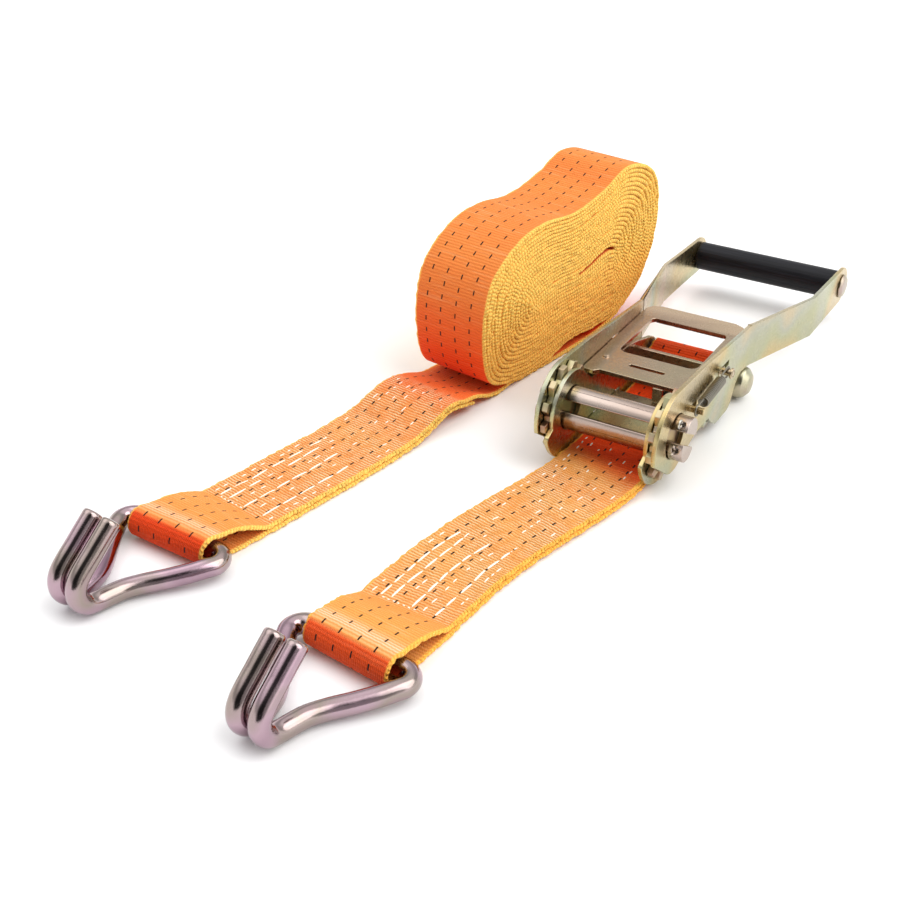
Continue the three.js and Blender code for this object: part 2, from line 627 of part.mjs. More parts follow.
const bounds = new THREE.Box3().setFromObject(group);
const middle = bounds.getCenter(new THREE.Vector3());
group.position.set(-middle.x, -middle.y, -bounds.min.z);

export default group;
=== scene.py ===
# Ratchet tie down: the looks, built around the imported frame. Lengths are in millimetres in the
# ratchet's own frame (drum axis along X at y = 0) until they are moved and scaled into the row frame.
import json
import math
import random

import bmesh
import bpy
import numpy as np
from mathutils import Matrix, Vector

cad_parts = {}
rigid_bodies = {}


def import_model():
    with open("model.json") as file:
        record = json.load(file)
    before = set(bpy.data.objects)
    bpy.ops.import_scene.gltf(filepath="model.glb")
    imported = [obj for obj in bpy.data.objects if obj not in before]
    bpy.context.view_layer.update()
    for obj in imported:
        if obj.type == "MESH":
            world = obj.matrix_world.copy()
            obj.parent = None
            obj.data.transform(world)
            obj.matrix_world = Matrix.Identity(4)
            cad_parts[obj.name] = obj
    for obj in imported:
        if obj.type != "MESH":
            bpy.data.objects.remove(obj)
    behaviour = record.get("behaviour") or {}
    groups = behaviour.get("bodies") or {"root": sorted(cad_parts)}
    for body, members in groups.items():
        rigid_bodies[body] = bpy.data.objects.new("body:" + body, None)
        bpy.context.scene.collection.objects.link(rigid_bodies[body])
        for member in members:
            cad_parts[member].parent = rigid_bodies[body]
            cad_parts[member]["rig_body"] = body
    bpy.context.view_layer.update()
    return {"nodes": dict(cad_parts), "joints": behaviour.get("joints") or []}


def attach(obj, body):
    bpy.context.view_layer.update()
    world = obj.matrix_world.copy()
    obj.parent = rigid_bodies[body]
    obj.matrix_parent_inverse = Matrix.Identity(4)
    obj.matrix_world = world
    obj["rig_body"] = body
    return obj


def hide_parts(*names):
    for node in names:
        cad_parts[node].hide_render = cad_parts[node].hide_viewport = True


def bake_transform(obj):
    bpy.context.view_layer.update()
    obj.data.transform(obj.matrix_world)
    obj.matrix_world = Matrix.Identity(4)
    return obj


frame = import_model()
JOINTS = {j["name"]: j for j in frame["joints"]}
PIVOT = JOINTS["handle_swing"]["pos_m"]
OFFSET = np.array([PIVOT[0] * 1000, PIVOT[1] * 1000, 0.0])
scene = bpy.context.scene

# ---- dimensions shared with the CAD ------------------------------------------------------------
AXIS_Z = 28.5
BELT_T = 2.4
FLOOR = 0.2
EYE_REACH = 36.0
EYE_AHEAD, EYE_Z, EYE_R = 2.5, 8.95, 6.3
WIRE_R = 5.0
SLACK_REACH, SLACK_Z, SLACK_R = 29.0, 11.6, 8.7
SLACK_BACK = 3.0
NOSE_AT = 200.0
HUMP_AT = 180.0
SEWN_END = 200.0
LAID_END = 316.0
PIN_X = 39.2
DRUM_TURN = math.radians(60)
POST_Y, POST_Z = 19.4, 35.8
EAR_Y, EAR_Z = 62.0, 39.1
SPRING_X = 38.6
GRIP_Y, GRIP_Z, GRIP_R = 238.0, 24.5, 9.2
SHORT_POINTS = [(-26.4, -207.6), (-25.7, -186), (-24.9, -160), (-22.4, -126), (-16.6, -92), (-8, -58),
                (-2, -30), (0, -6), (0, 30), (0, 70), (0, 107)]
LONG_POINTS = [(-150.6, -180.6), (-148, -163), (-144.3, -142), (-138.5, -110), (-132, -75), (-126.5, -38),
               (-123, -10), (-119.2, 18), (-115.2, 46), (-108.7, 94), (-102.2, 142)]
ROLL_POINTS = [(37, 4.0), (10.5, 12.6), (2.6, 44), (9, 74), (33, 91.5), (58, 95.5), (92, 92), (122, 97),
               (150, 104.5), (178.6, 93), (189, 64), (178, 30), (148, 8.5), (118, 6.8), (92, 8.4),
               (64, 3.9)]
CORE_POINTS = [(50, 47), (60.5, 50.5), (77.8, 52.7), (96, 51.5), (111, 53.5), (123, 56.5), (132, 57),
               (138, 55)]
ROLL_TURN = math.radians(7.7)
ROLL_FORWARD = np.array([math.sin(ROLL_TURN), math.cos(ROLL_TURN), 0.0])
ROLL_START = np.array([-117.0, 20.6, 0.2])
ROLL_TURNS = 19
ROLL_REAR = (188, 52)
CORE_GAP = 0.22
CORE_SHARE = 0.965

# ---- the cloth: pitches of its ribs, warp threads and selvedge loops, and its rows of marker threads
PLY = 2.28
RIB, WARP, LOOP = 1.9, 1.05, 2.3
MARK_FIRST, MARK_GAP, MARK_PITCH = -16.5, 10.3, 7.6

# ---- the seams: rows of stitches, where they end, and seeds for the ridges of the sewn layers ----
STITCH_ROWS = np.array([-20.6, -15.4, -9.8, -4.0, 2.0, 8.2, 15.4, 20.4])
BOLD_ROWS = (1, 2, 4, 6)
SEAM_START = 39
SHORT_SEAM_END = 264
LONG_SEAM_END = SEWN_END - 14
LONG_QUILT_END = SEWN_END - 10
SHORT_RIDGES, LONG_RIDGES = 11, 23


# ---- curves ------------------------------------------------------------------------------------
def catmull(points, closed=False, per_segment=60):
    """Centripetal Catmull-Rom curve through the points, densely sampled."""
    p = np.array(points, float)
    n = len(p)
    out = []
    for i in range(n if closed else n - 1):
        p1, p2 = p[i], p[(i + 1) % n]
        p0 = p[(i - 1) % n] if closed or i > 0 else 2 * p1 - p2
        p3 = p[(i + 2) % n] if closed or i + 2 < n else 2 * p2 - p1
        d0, d1, d2 = (max(np.linalg.norm(b - a), 1e-9) ** 0.5 for a, b in ((p0, p1), (p1, p2), (p2, p3)))
        m1 = ((p1 - p0) / d0 - (p2 - p0) / (d0 + d1) + (p2 - p1) / d1) * d1
        m2 = ((p2 - p1) / d1 - (p3 - p1) / (d1 + d2) + (p3 - p2) / d2) * d1
        t = np.arange(per_segment)[:, None] / per_segment
        out.append((2 * t**3 - 3 * t**2 + 1) * p1 + (t**3 - 2 * t**2 + t) * m1
                   + (-2 * t**3 + 3 * t**2) * p2 + (t**3 - t**2) * m2)
    out = np.vstack(out)
    return out if closed else np.vstack([out, p[-1:]])


def arc_length(points):
    return np.concatenate([[0], np.cumsum(np.linalg.norm(np.diff(points, axis=0), axis=1))])


def resample(points, step):
    """The same polyline with stations about step apart."""
    s = arc_length(points)
    count = max(2, int(round(s[-1] / step)) + 1)
    at = np.linspace(0, s[-1], count)
    return np.stack([np.interp(at, s, points[:, k]) for k in range(points.shape[1])], 1)


def unit(v):
    return v / np.maximum(np.linalg.norm(v, axis=-1, keepdims=True), 1e-12)


def smoothstep(a, b, x):
    t = np.clip((np.asarray(x, float) - a) / (b - a), 0, 1)
    return t * t * (3 - 2 * t)


def noise(x, seed, period):
    """Smooth one-dimensional value noise from -1 to 1, the same in each run."""
    size = 4096
    table = np.random.default_rng(seed).uniform(-1, 1, size)
    x = np.asarray(x, float) / period
    i = np.floor(x).astype(int)
    t = x - i
    t = t * t * (3 - 2 * t)
    return table[i % size] * (1 - t) + table[(i + 1) % size] * t


class Route:
    """A strap's centre line on the floor; skew is how far its front fold is out of square."""

    def __init__(self, points, skew=0.0):
        self.lean = math.tan(math.radians(skew))
        self.points = catmull(points)
        self.s = arc_length(self.points)
        self.length = self.s[-1]
        self.tangents = unit(np.gradient(self.points, axis=0))

    def centre(self, s):
        s = np.asarray(s, float)
        c = np.clip(s, 0, self.length)
        point = np.stack([np.interp(c, self.s, self.points[:, k]) for k in range(2)], -1)
        return point + self.along(s) * (s - c)[..., None]

    def along(self, s):
        c = np.clip(np.asarray(s, float), 0, self.length)
        return unit(np.stack([np.interp(c, self.s, self.tangents[:, k]) for k in range(2)], -1))


short_route = Route(SHORT_POINTS, 6.0)
long_route = Route(LONG_POINTS, -5.0)


# ---- meshes ------------------------------------------------------------------------------------
def to_row(points):
    return (np.asarray(points, float) + OFFSET) / 1000


def added(name, data):
    obj = bpy.data.objects.new(name, data)
    scene.collection.objects.link(obj)
    return obj


def mesh_object(name, points, faces, material, attributes=None):
    mesh = bpy.data.meshes.new(name)
    mesh.from_pydata(to_row(points).tolist(), [], [list(map(int, f)) for f in faces])
    for key, values in (attributes or {}).items():
        values = np.asarray(values, np.float32)
        if values.ndim == 1:
            mesh.attributes.new(key, "FLOAT", "POINT").data.foreach_set("value", values)
        else:
            mesh.attributes.new(key, "FLOAT_VECTOR", "POINT").data.foreach_set("vector", values.ravel())
    mesh.materials.append(material)
    mesh.polygons.foreach_set("use_smooth", [True] * len(mesh.polygons))
    mesh.update()
    return added(name, mesh)


def ring_faces(rings, count, closed=False, base=0):
    """Quads between successive rings of count points, with flat ends if it isn't closed."""
    faces = []
    last = rings if closed else rings - 1
    for i in range(last):
        a = base + i * count
        b = base + ((i + 1) % rings) * count
        for j in range(count):
            k = (j + 1) % count
            faces.append((a + j, b + j, b + k, a + k))
    if not closed:
        faces.append(tuple(base + j for j in range(count)))
        faces.append(tuple(base + (rings - 1) * count + j for j in reversed(range(count))))
    return faces


def tube_rings(path, radii, sides, up):
    """Rings round a path, carried along it without twist."""
    path = np.asarray(path, float)
    tangents = unit(np.gradient(path, axis=0))
    normal = np.array(up, float) - tangents[0] * (tangents[0] @ np.array(up, float))
    if np.linalg.norm(normal) < 0.2:
        normal = np.cross(tangents[0], (1, 0, 0))
    normal = unit(normal)
    angles = np.linspace(0, 2 * np.pi, sides, endpoint=False)
    rings = []
    for point, tangent, radius in zip(path, tangents, np.broadcast_to(radii, len(path))):
        normal = unit(normal - tangent * (tangent @ normal))
        side = np.cross(tangent, normal)
        rings.append(point + radius * (np.cos(angles)[:, None] * normal + np.sin(angles)[:, None] * side))
    return np.vstack(rings)


def tube_object(name, path, radius, sides, material, chamfer=0.0, up=(0, 0, 1)):
    path = np.asarray(path, float)
    radii = np.full(len(path), float(radius))
    if chamfer:
        first, last = unit(path[0] - path[1]), unit(path[-1] - path[-2])
        steps = [(0.35, 0.93), (0.7, 0.72), (0.82, 0.45)]
        head = [path[0] - first * chamfer * (1 - k) for k, _ in reversed(steps)]
        tail = [path[-1] - last * chamfer * (1 - k) for k, _ in steps]
        keep = path[2:-2]
        path = np.vstack([head, keep, tail])
        shrink = np.array([r for _, r in steps]) * radius
        radii = np.concatenate([shrink[::-1], np.full(len(keep), float(radius)), shrink])
    rings = tube_rings(path, radii, sides, up)
    return mesh_object(name, rings, ring_faces(len(path), sides), material)


# ---- materials ---------------------------------------------------------------------------------
def fill_ramp(ramp, stops):
    while len(ramp.elements) < len(stops):
        ramp.elements.new(0.5)
    for element, (position, color) in zip(ramp.elements, stops):
        element.position = position
        element.color = (*color, 1)


class Shader:
    """A node material: math on sockets, written as calls."""

    def __init__(self, name):
        self.material = bpy.data.materials.new(name)
        self.material.use_nodes = True
        self.tree = self.material.node_tree
        self.tree.nodes.clear()
        self.out = self.tree.nodes.new("ShaderNodeOutputMaterial")
        self.surface = self.tree.nodes.new("ShaderNodeBsdfPrincipled")
        self.tree.links.new(self.surface.outputs[0], self.out.inputs["Surface"])

    def put(self, socket, value):
        if isinstance(value, bpy.types.NodeSocket):
            self.tree.links.new(value, socket)
        else:
            socket.default_value = value

    def set(self, **values):
        for key, value in values.items():
            self.put(self.surface.inputs[key.replace("_", " ")], value)

    def math(self, operation, *values):
        node = self.tree.nodes.new("ShaderNodeMath")
        node.operation = operation
        for socket, value in zip(node.inputs, values):
            self.put(socket, value)
        return node.outputs[0]

    def times(self, a, b):
        return self.math("MULTIPLY", a, b)

    def plus(self, a, b):
        return self.math("ADD", a, b)

    def step(self, value, low, high):
        """From 0 at low to 1 at high, or the other way round when low is the larger."""
        node = self.tree.nodes.new("ShaderNodeMapRange")
        node.interpolation_type = "SMOOTHSTEP"
        for key, given in (("Value", value), ("From Min", low), ("From Max", high)):
            self.put(node.inputs[key], given)
        return node.outputs[0]

    def mix(self, factor, a, b, blend="MIX"):
        node = self.tree.nodes.new("ShaderNodeMix")
        node.data_type = "RGBA"
        node.blend_type = blend
        node.clamp_factor = True
        self.put(node.inputs[0], factor)
        self.put(node.inputs[6], a if isinstance(a, bpy.types.NodeSocket) else (*a, 1))
        self.put(node.inputs[7], b if isinstance(b, bpy.types.NodeSocket) else (*b, 1))
        return node.outputs[2]

    def attribute(self, name, output="Vector"):
        node = self.tree.nodes.new("ShaderNodeAttribute")
        node.attribute_name = name
        return node.outputs[output]

    def split(self, vector):
        node = self.tree.nodes.new("ShaderNodeSeparateXYZ")
        self.put(node.inputs[0], vector)
        return node.outputs

    def join(self, x, y, z):
        node = self.tree.nodes.new("ShaderNodeCombineXYZ")
        for socket, value in zip(node.inputs, (x, y, z)):
            self.put(socket, value)
        return node.outputs[0]

    def place(self):
        """Millimetres in the piece's own rest frame."""
        coordinates = self.tree.nodes.new("ShaderNodeTexCoord")
        node = self.tree.nodes.new("ShaderNodeVectorMath")
        node.operation = "MULTIPLY"
        self.put(node.inputs[0], coordinates.outputs["Object"])
        node.inputs[1].default_value = (1000, 1000, 1000)
        return node.outputs[0]

    def stretch(self, vector, factors):
        node = self.tree.nodes.new("ShaderNodeVectorMath")
        node.operation = "MULTIPLY"
        self.put(node.inputs[0], vector)
        node.inputs[1].default_value = factors
        return node.outputs[0]

    def noise(self, vector, scale, detail, roughness=0.5):
        node = self.tree.nodes.new("ShaderNodeTexNoise")
        self.put(node.inputs["Vector"], vector)
        node.inputs["Scale"].default_value = scale
        node.inputs["Detail"].default_value = detail
        node.inputs["Roughness"].default_value = roughness
        return node.outputs[0]

    def ramp(self, factor, stops):
        node = self.tree.nodes.new("ShaderNodeValToRGB")
        fill_ramp(node.color_ramp, stops)
        self.put(node.inputs[0], factor)
        return node.outputs[0]

    def bump(self, height, distance):
        """Relief on the surface, distance millimetres for a height of one."""
        node = self.tree.nodes.new("ShaderNodeBump")
        node.inputs["Strength"].default_value = 1.0
        node.inputs["Distance"].default_value = distance / 1000
        self.put(node.inputs["Height"], height)
        self.put(self.surface.inputs["Normal"], node.outputs[0])


def belt_material(name, pale, painted_shade_colour, edge):
    """Woven polyester: fine ribs across, warp threads along, dark marker threads in four rows, and
    thick yarn loops on the selvedges. Attribute belt holds millimetres across and along and how far the
    point is on a selvedge. The second attribute is how far the colour goes from pale orange to dark
    red-orange: a little at random, mostly painted shade on fold faces, beneath the ratchet's nose, beside
    the roll and over the roll, most of all low on it. The third holds how far the point is on a fold's
    face, in a seam, whose pale rib hatch is partly a painted highlight, and on a crest, which gets a
    painted highlight on its ribs."""
    m = Shader(name)
    u, v, side = m.split(m.attribute("belt"))
    tone_and_painted_shade = m.attribute("tone_and_painted_shade", "Fac")
    flat = m.join(u, v, 0.0)
    wander = m.noise(flat, 0.16, 2.0)
    fine = m.noise(m.stretch(flat, (0.9, 2.2, 1)), 1.6, 3.0, 0.6)
    band = m.noise(m.stretch(flat, (0.035, 0.42, 1)), 1.0, 2.0, 0.55)
    pale_part = m.math("SUBTRACT", 1.0, m.times(tone_and_painted_shade, 0.85))

    # ribs that lean a little one way, then the other, in lanes across the belt
    lane = m.math("PINGPONG", m.plus(u, 100.0), 1.1)
    lean = m.plus(v, m.plus(m.times(lane, 0.22), m.times(wander, 1.1)))
    rib = m.math("SINE", m.times(lean, 2 * math.pi / RIB))
    warp = m.math("SINE", m.times(u, 2 * math.pi / WARP))
    checker = m.times(rib, warp)
    face, sewn, painted_crest_highlight = m.split(m.attribute("fold_seam_painted_sheen"))
    patch = m.step(m.noise(m.stretch(flat, (0.22, 0.10, 1)), 1.0, 2.0), 0.36, 0.56)
    hatch = m.times(m.step(rib, -0.5, 0.6), m.plus(0.35, m.times(patch, 0.65)))
    ribs = m.times(rib, m.plus(0.55, m.times(sewn, 0.9)))
    threads = m.times(m.times(warp, face), 0.9)
    weave = m.plus(ribs, m.plus(m.times(checker, 0.3), threads))

    row = m.math("DIVIDE", m.math("SUBTRACT", u, MARK_FIRST), MARK_GAP)
    nearest = m.math("MINIMUM", m.math("MAXIMUM", m.math("ROUND", row), 0.0), 3.0)
    off = m.times(m.math("ABSOLUTE", m.math("SUBTRACT", row, nearest)), MARK_GAP)
    shift = m.times(m.math("SINE", m.times(nearest, 2.4)), 0.09)
    phase = m.math("FRACT", m.plus(m.math("DIVIDE", v, MARK_PITCH), shift))
    along = m.math("ABSOLUTE", m.math("SUBTRACT", phase, 0.5))
    mark = m.times(m.step(off, 0.55, 0.30), m.step(along, 0.205, 0.165))
    mark = m.times(mark, m.step(side, 0.3, 0.1))

    loops = m.plus(v, m.times(side, 1.6))
    lumps = m.math("SINE", m.times(loops, 2 * math.pi / LOOP))
    # pale orange to dark red-orange by the second attribute: mostly painted shade, a little random
    base = m.mix(tone_and_painted_shade, pale, painted_shade_colour)
    light = m.mix(m.times(pale_part, 0.5), base, (1.0, 0.60, 0.28))
    dark = m.mix(0.55, base, (0.60, 0.045, 0.003))
    base = m.mix(m.times(m.step(band, 0.52, 0.72), 0.6), base, light)
    base = m.mix(m.times(m.step(rib, 0.1, -0.9), 0.45), base, dark)
    base = m.mix(m.times(m.step(fine, 0.52, 0.75), 0.3), base, light)
    base = m.mix(m.times(m.step(fine, 0.47, 0.25), 0.3), base, dark)
    # pale hatch on the ribs over the seams: partly the ribs' pattern, partly painted highlight
    base = m.mix(m.times(m.times(sewn, hatch), 0.85), base, (0.96, 0.66, 0.36))
    # painted highlight on the ribs of crests: along the fold tops and across the roll's front
    shine = m.plus(0.25, m.times(m.step(rib, -0.5, 0.7), 0.75))
    base = m.mix(m.times(painted_crest_highlight, shine), base, (1.0, 0.62, 0.40))
    base = m.mix(m.times(m.times(m.step(warp, 0.3, -0.9), face), 0.55), base, dark)
    rim = m.mix(m.times(m.step(lumps, 0.4, -0.7), 0.50), edge, (0.92, 0.32, 0.03))
    rim = m.mix(m.times(m.step(fine, 0.55, 0.72), 0.5), rim, (1.0, 0.86, 0.40))
    # the selvedges turn dark red where the painted shade is strongest
    rim = m.mix(m.times(m.step(tone_and_painted_shade, 0.55, 1.0), 0.30), rim, (0.95, 0.30, 0.03))
    base = m.mix(m.step(side, 0.08, 0.5), base, rim)
    base = m.mix(mark, base, (0.020, 0.006, 0.004))
    height = m.plus(weave, m.times(fine, 0.8))
    height = m.math("SUBTRACT", height, m.times(mark, 0.8))
    height = m.plus(height, m.times(m.times(lumps, side), 1.1))
    m.bump(height, 0.24)
    m.set(Base_Color=base, Roughness=m.plus(0.66, m.times(fine, 0.25)))
    m.set(Sheen_Weight=0.05, Sheen_Roughness=0.5, Sheen_Tint=(1.0, 0.7, 0.5, 1), Specular_IOR_Level=0.18)
    return m.material


def zinc_material(name, stops, low, high, swirl=0.011, grain=0.035, mottle=0.02):
    """Passivated zinc: slow drifts between gold, green and pink, over a fine rolled grain."""
    m = Shader(name)
    place = m.place()
    drift = m.noise(m.stretch(place, (0.7, 1.0, 1.3)), swirl, 2.0, 0.5)
    cloud = m.noise(place, 0.14, 3.0, 0.6)
    grit = m.noise(place, 3.2, 3.0, 0.7)
    scratch = m.noise(m.stretch(place, (2.5, 0.12, 2.5)), 1.3, 2.0, 0.6)
    factor = m.plus(m.times(drift, 1.0 - mottle), m.times(cloud, mottle))
    color = m.ramp(m.step(factor, 0.22, 0.78), stops)
    color = m.mix(m.times(m.step(grit, 0.62, 0.42), 0.08), color, (0.30, 0.26, 0.20), "MULTIPLY")
    color = m.mix(m.times(m.step(scratch, 0.64, 0.78), 0.14), color, (0.75, 0.72, 0.64))
    spread = m.plus(m.times(cloud, 0.6), m.times(grit, 0.4))
    m.set(Base_Color=color, Metallic=1.0)
    m.set(Roughness=m.plus(low, m.times(m.step(spread, 0.3, 0.7), high - low)))
    height = m.plus(m.times(grit, 0.6), m.times(scratch, 0.5))
    m.bump(height, grain)
    return m.material


GOLD = (0.57, 0.43, 0.19)
STRAW = (0.55, 0.45, 0.28)
GREEN = (0.43, 0.43, 0.25)
PINK = (0.58, 0.38, 0.30)
SKY = (0.43, 0.43, 0.33)
UMBER = (0.36, 0.22, 0.15)
zinc = zinc_material("yellow_zinc", [(0.0, PINK), (0.22, STRAW), (0.42, GOLD), (0.58, GREEN), (0.70, SKY),
                                     (0.82, STRAW), (1.0, PINK)], 0.24, 0.31)
wheel_zinc = zinc_material("wheel_zinc", [(0.0, PINK), (0.25, GREEN), (0.5, STRAW), (0.75, UMBER),
                                          (1.0, GOLD)], 0.26, 0.42, swirl=0.03)
# The reddish cast of the pawl and the drum is painted reflection of the orange webbing near them.
pawl_zinc = zinc_material("pawl_zinc", [(0.0, (0.52, 0.36, 0.26)), (0.5, (0.50, 0.41, 0.27)),
                                        (1.0, (0.52, 0.37, 0.27))], 0.22, 0.30)
drum_steel = zinc_material("drum_steel", [(0.0, (0.38, 0.28, 0.23)), (0.5, (0.50, 0.41, 0.36)),
                                          (1.0, (0.42, 0.29, 0.23))], 0.16, 0.30)
bolt_zinc = zinc_material("bolt_zinc", [(0.0, (0.36, 0.38, 0.28)), (0.5, (0.48, 0.44, 0.30)),
                                        (1.0, (0.46, 0.36, 0.33))], 0.26, 0.38, swirl=0.05)
pin_zinc = zinc_material("pin_zinc", [(0.0, (0.60, 0.50, 0.48)), (0.5, (0.66, 0.58, 0.50)),
                                      (1.0, (0.54, 0.54, 0.50))], 0.25, 0.4, swirl=0.05)
spring_steel = zinc_material("spring_steel", [(0.0, (0.16, 0.15, 0.12)), (0.5, (0.26, 0.24, 0.20)),
                                              (1.0, (0.20, 0.18, 0.16))], 0.3, 0.45)
dark_spring = zinc_material("dark_spring", [(0.0, (0.06, 0.05, 0.04)), (0.5, (0.11, 0.10, 0.08)),
                                            (1.0, (0.08, 0.07, 0.06))], 0.3, 0.45)
hook_zinc = zinc_material("hook_zinc", [(0.0, (0.28, 0.17, 0.23)), (0.45, (0.44, 0.31, 0.36)),
                                        (0.7, (0.34, 0.28, 0.25)), (1.0, (0.42, 0.26, 0.32))],
                          0.08, 0.17, swirl=0.024, grain=0.032, mottle=0.0)


def plastic_material():
    m = Shader("black_plastic")
    place = m.place()
    streak = m.noise(m.stretch(place, (0.03, 1.4, 1.4)), 1.2, 3.0, 0.6)
    grain = m.noise(place, 5.0, 2.0, 0.6)
    m.set(Base_Color=m.mix(m.step(streak, 0.4, 0.7), (0.003, 0.003, 0.005), (0.012, 0.012, 0.018)))
    m.set(Roughness=m.plus(0.26, m.times(streak, 0.30)), Specular_IOR_Level=0.22)
    m.bump(m.plus(streak, m.times(grain, 0.25)), 0.05)
    return m.material


def thread_material():
    m = Shader("stitch_thread")
    place = m.place()
    twist = m.noise(place, 2.8, 3.0, 0.7)
    m.set(Base_Color=m.mix(twist, (0.96, 0.82, 0.64), (1.0, 0.95, 0.86)), Roughness=0.7)
    m.set(Sheen_Weight=0.3, Sheen_Roughness=0.5)
    m.bump(twist, 0.12)
    return m.material


# PALE is the webbing's orange; the dark red-orange below is the colour of its painted shade.
PALE = (0.82, 0.375, 0.080)
PAINTED_SHADE_ORANGE = (0.94, 0.060, 0.002)
webbing = belt_material("webbing", PALE, PAINTED_SHADE_ORANGE, (0.98, 0.52, 0.08))
# The roll's copy has lighter, yellower selvedges: painted light on the roll's lit side.
webbing_roll = belt_material("webbing_roll", PALE, PAINTED_SHADE_ORANGE, (1.0, 0.66, 0.14))
black_plastic = plastic_material()
thread = thread_material()


# ---- ribbons -----------------------------------------------------------------------------------
COLUMNS = np.array([-23.8, -22.6, -21, -19.4, -17.6, -15.4, -13.4, -11.4, -9.8, -8.2, -6, -4, -2, 0, 2, 4,
                    6, 8.2, 9.8, 11.4, 13.4, 15.4, 17.6, 19.4, 21, 22.6, 23.8])


def ribbon(name, centres, across, normals, along, material, thick, wide, slide, lift, tone_and_painted_shade, fold_seam_painted_sheen):
    """A closed band of webbing. The arrays hold a value for each station: thick is its thickness, wide
    its width as a share of the usual, and slide a small move across. lift(i, u, h), a small move along
    the normal, and two colour functions of (i, u), one for the painted shade and random colour depth and
    one for the fold face, seam and painted highlight marks, are worked out for station i and u across the
    band, where h is 1 on its upper side and -1 on its lower one."""
    n = len(centres)
    half = np.broadcast_to(np.asarray(thick, float) / 2, n)
    round_angles = np.radians([45, 90, 135])
    h_top = np.ones(len(COLUMNS))
    edge_at, edge_r = 23.9, 1.1
    a_right, h_right = edge_at + edge_r * np.sin(round_angles), np.cos(round_angles)
    a = np.concatenate([COLUMNS, a_right, COLUMNS[::-1], -a_right])
    h = np.concatenate([h_top, h_right, -h_top, -h_right])
    side = np.concatenate([np.zeros(len(COLUMNS)), np.ones(3), np.zeros(len(COLUMNS)), np.ones(3)])
    side = np.where(np.abs(a) > edge_at - 0.2, np.maximum(side, 0.35), side)
    count = len(a)
    station = np.arange(n)[:, None]
    ragged = 0.55 * np.stack([noise(along, 61, 1.7), noise(along, 62, 1.7)], 1)[:, (a > 0).astype(int)]
    aa = a[None, :] * np.broadcast_to(wide, n)[:, None] + np.sign(a) * side * (ragged - 0.1)
    hh = h[None, :] * half[:, None] + lift(station, aa, h[None, :])
    aa = aa + np.broadcast_to(slide, n)[:, None]
    points = centres[:, None] + across[:, None] * aa[:, :, None] + normals[:, None] * hh[:, :, None]

    def each(values):
        return np.broadcast_to(values, (n, count))

    belt = np.stack([each(a), each(along[:, None]), each(side)], -1)
    finishes = np.stack([each(part) for part in fold_seam_painted_sheen(station, aa)], -1)
    values = {"belt": belt.reshape(-1, 3), "tone_and_painted_shade": each(tone_and_painted_shade(station, aa)).ravel(),
              "fold_seam_painted_sheen": finishes.reshape(-1, 3)}
    return mesh_object(name, points.reshape(-1, 3), ring_faces(n, count), material, values)


def in_space(route, path):
    """Centres, across vectors and normals of a strap whose side profile is path, rows of (s, z)."""
    s, z = path[:, 0], path[:, 1]
    along = route.along(s)
    centre = np.column_stack([route.centre(s), z])
    slope = unit(np.gradient(path, axis=0))
    normals = np.column_stack([along * -slope[:, 1:], slope[:, 0]])
    across = np.column_stack([along[:, 1], -along[:, 0], np.zeros(len(s))])
    share = np.clip((EYE_REACH - s) / EYE_REACH, 0, 1) * route.lean
    across[:, :2] -= along * share[:, None]
    return centre, across, normals


def eye(reach, join_low, join_high, bar_z, radius, full=0.0):
    """A drop-shaped eye round a bar at (0, bar_z), from the lower layer at (reach, join_low) round the
    bar to the upper layer at (reach, join_high), which bulges by full where it comes down again."""
    start = np.array([reach, join_low])
    end = np.array([reach, join_high])
    angle_low = -math.pi / 2
    d = end - np.array([0.0, bar_z])
    distance = np.linalg.norm(d)
    angle_high = math.atan2(d[1], d[0]) + math.acos(radius / distance)
    sweep = np.linspace(angle_low, angle_high - 2 * math.pi, 30)
    circle = np.stack([radius * np.cos(sweep), bar_z + radius * np.sin(sweep)], 1)
    q = np.linspace(0, 1, 30)[1:, None]
    down = circle[-1] + (end - circle[-1]) * q
    down[:, 1:] += full * np.sin(np.pi * q ** 1.1) ** 1.2
    return np.vstack([start[None], circle, down])


def front_eye():
    """The side profile of a hook's eye, a little ahead of the route's start."""
    t = BELT_T
    path = eye(EYE_REACH + EYE_AHEAD, FLOOR + t / 2, FLOOR + 1.5 * t, EYE_Z, EYE_R + t / 2, 2.2)
    return path - [EYE_AHEAD, 0]


def strap_low(s, rear):
    """The short strap's underside, a little off the floor between its eyes."""
    return FLOOR + 0.9 * np.sin(np.pi * np.clip((s - EYE_REACH) / (rear - EYE_REACH), 0, 1)) ** 2


def hump(s):
    """The long strap's underside, which rises once over a soft hump."""
    return FLOOR + 7 * np.exp(-(((np.asarray(s, float) - HUMP_AT) / 23) ** 2))


def quilt(s, u, start, end, seed):
    """How far the sewn top stands above flat: drawn in along each row of stitches, with soft ridges
    across where the layers have crept."""
    inside = smoothstep(start - 4, start + 5, s) * (1 - smoothstep(end - 5, end + 4, s))
    rows = sum(np.exp(-(((u - row) / 1.3) ** 2)) for row in STITCH_ROWS)
    ridge = noise(s + 1.2 * noise(u, seed + 5, 9.0), seed, 3.1)
    broad = noise(s + 3.0 * noise(u, seed + 6, 14.0), seed + 1, 9.0)
    return inside * (0.16 - 0.34 * rows + 0.17 * ridge + 0.20 * broad)


def eye_arch(s, u, top, seed):
    """How the upper layer arches over the hook's bar, with its edges drawn down."""
    arch = smoothstep(EYE_REACH, 4, s) * smoothstep(-9, 0, s) * top
    return arch * (-0.55 * (u / 25) ** 4 + 0.22 * noise(u, seed, 6.0))


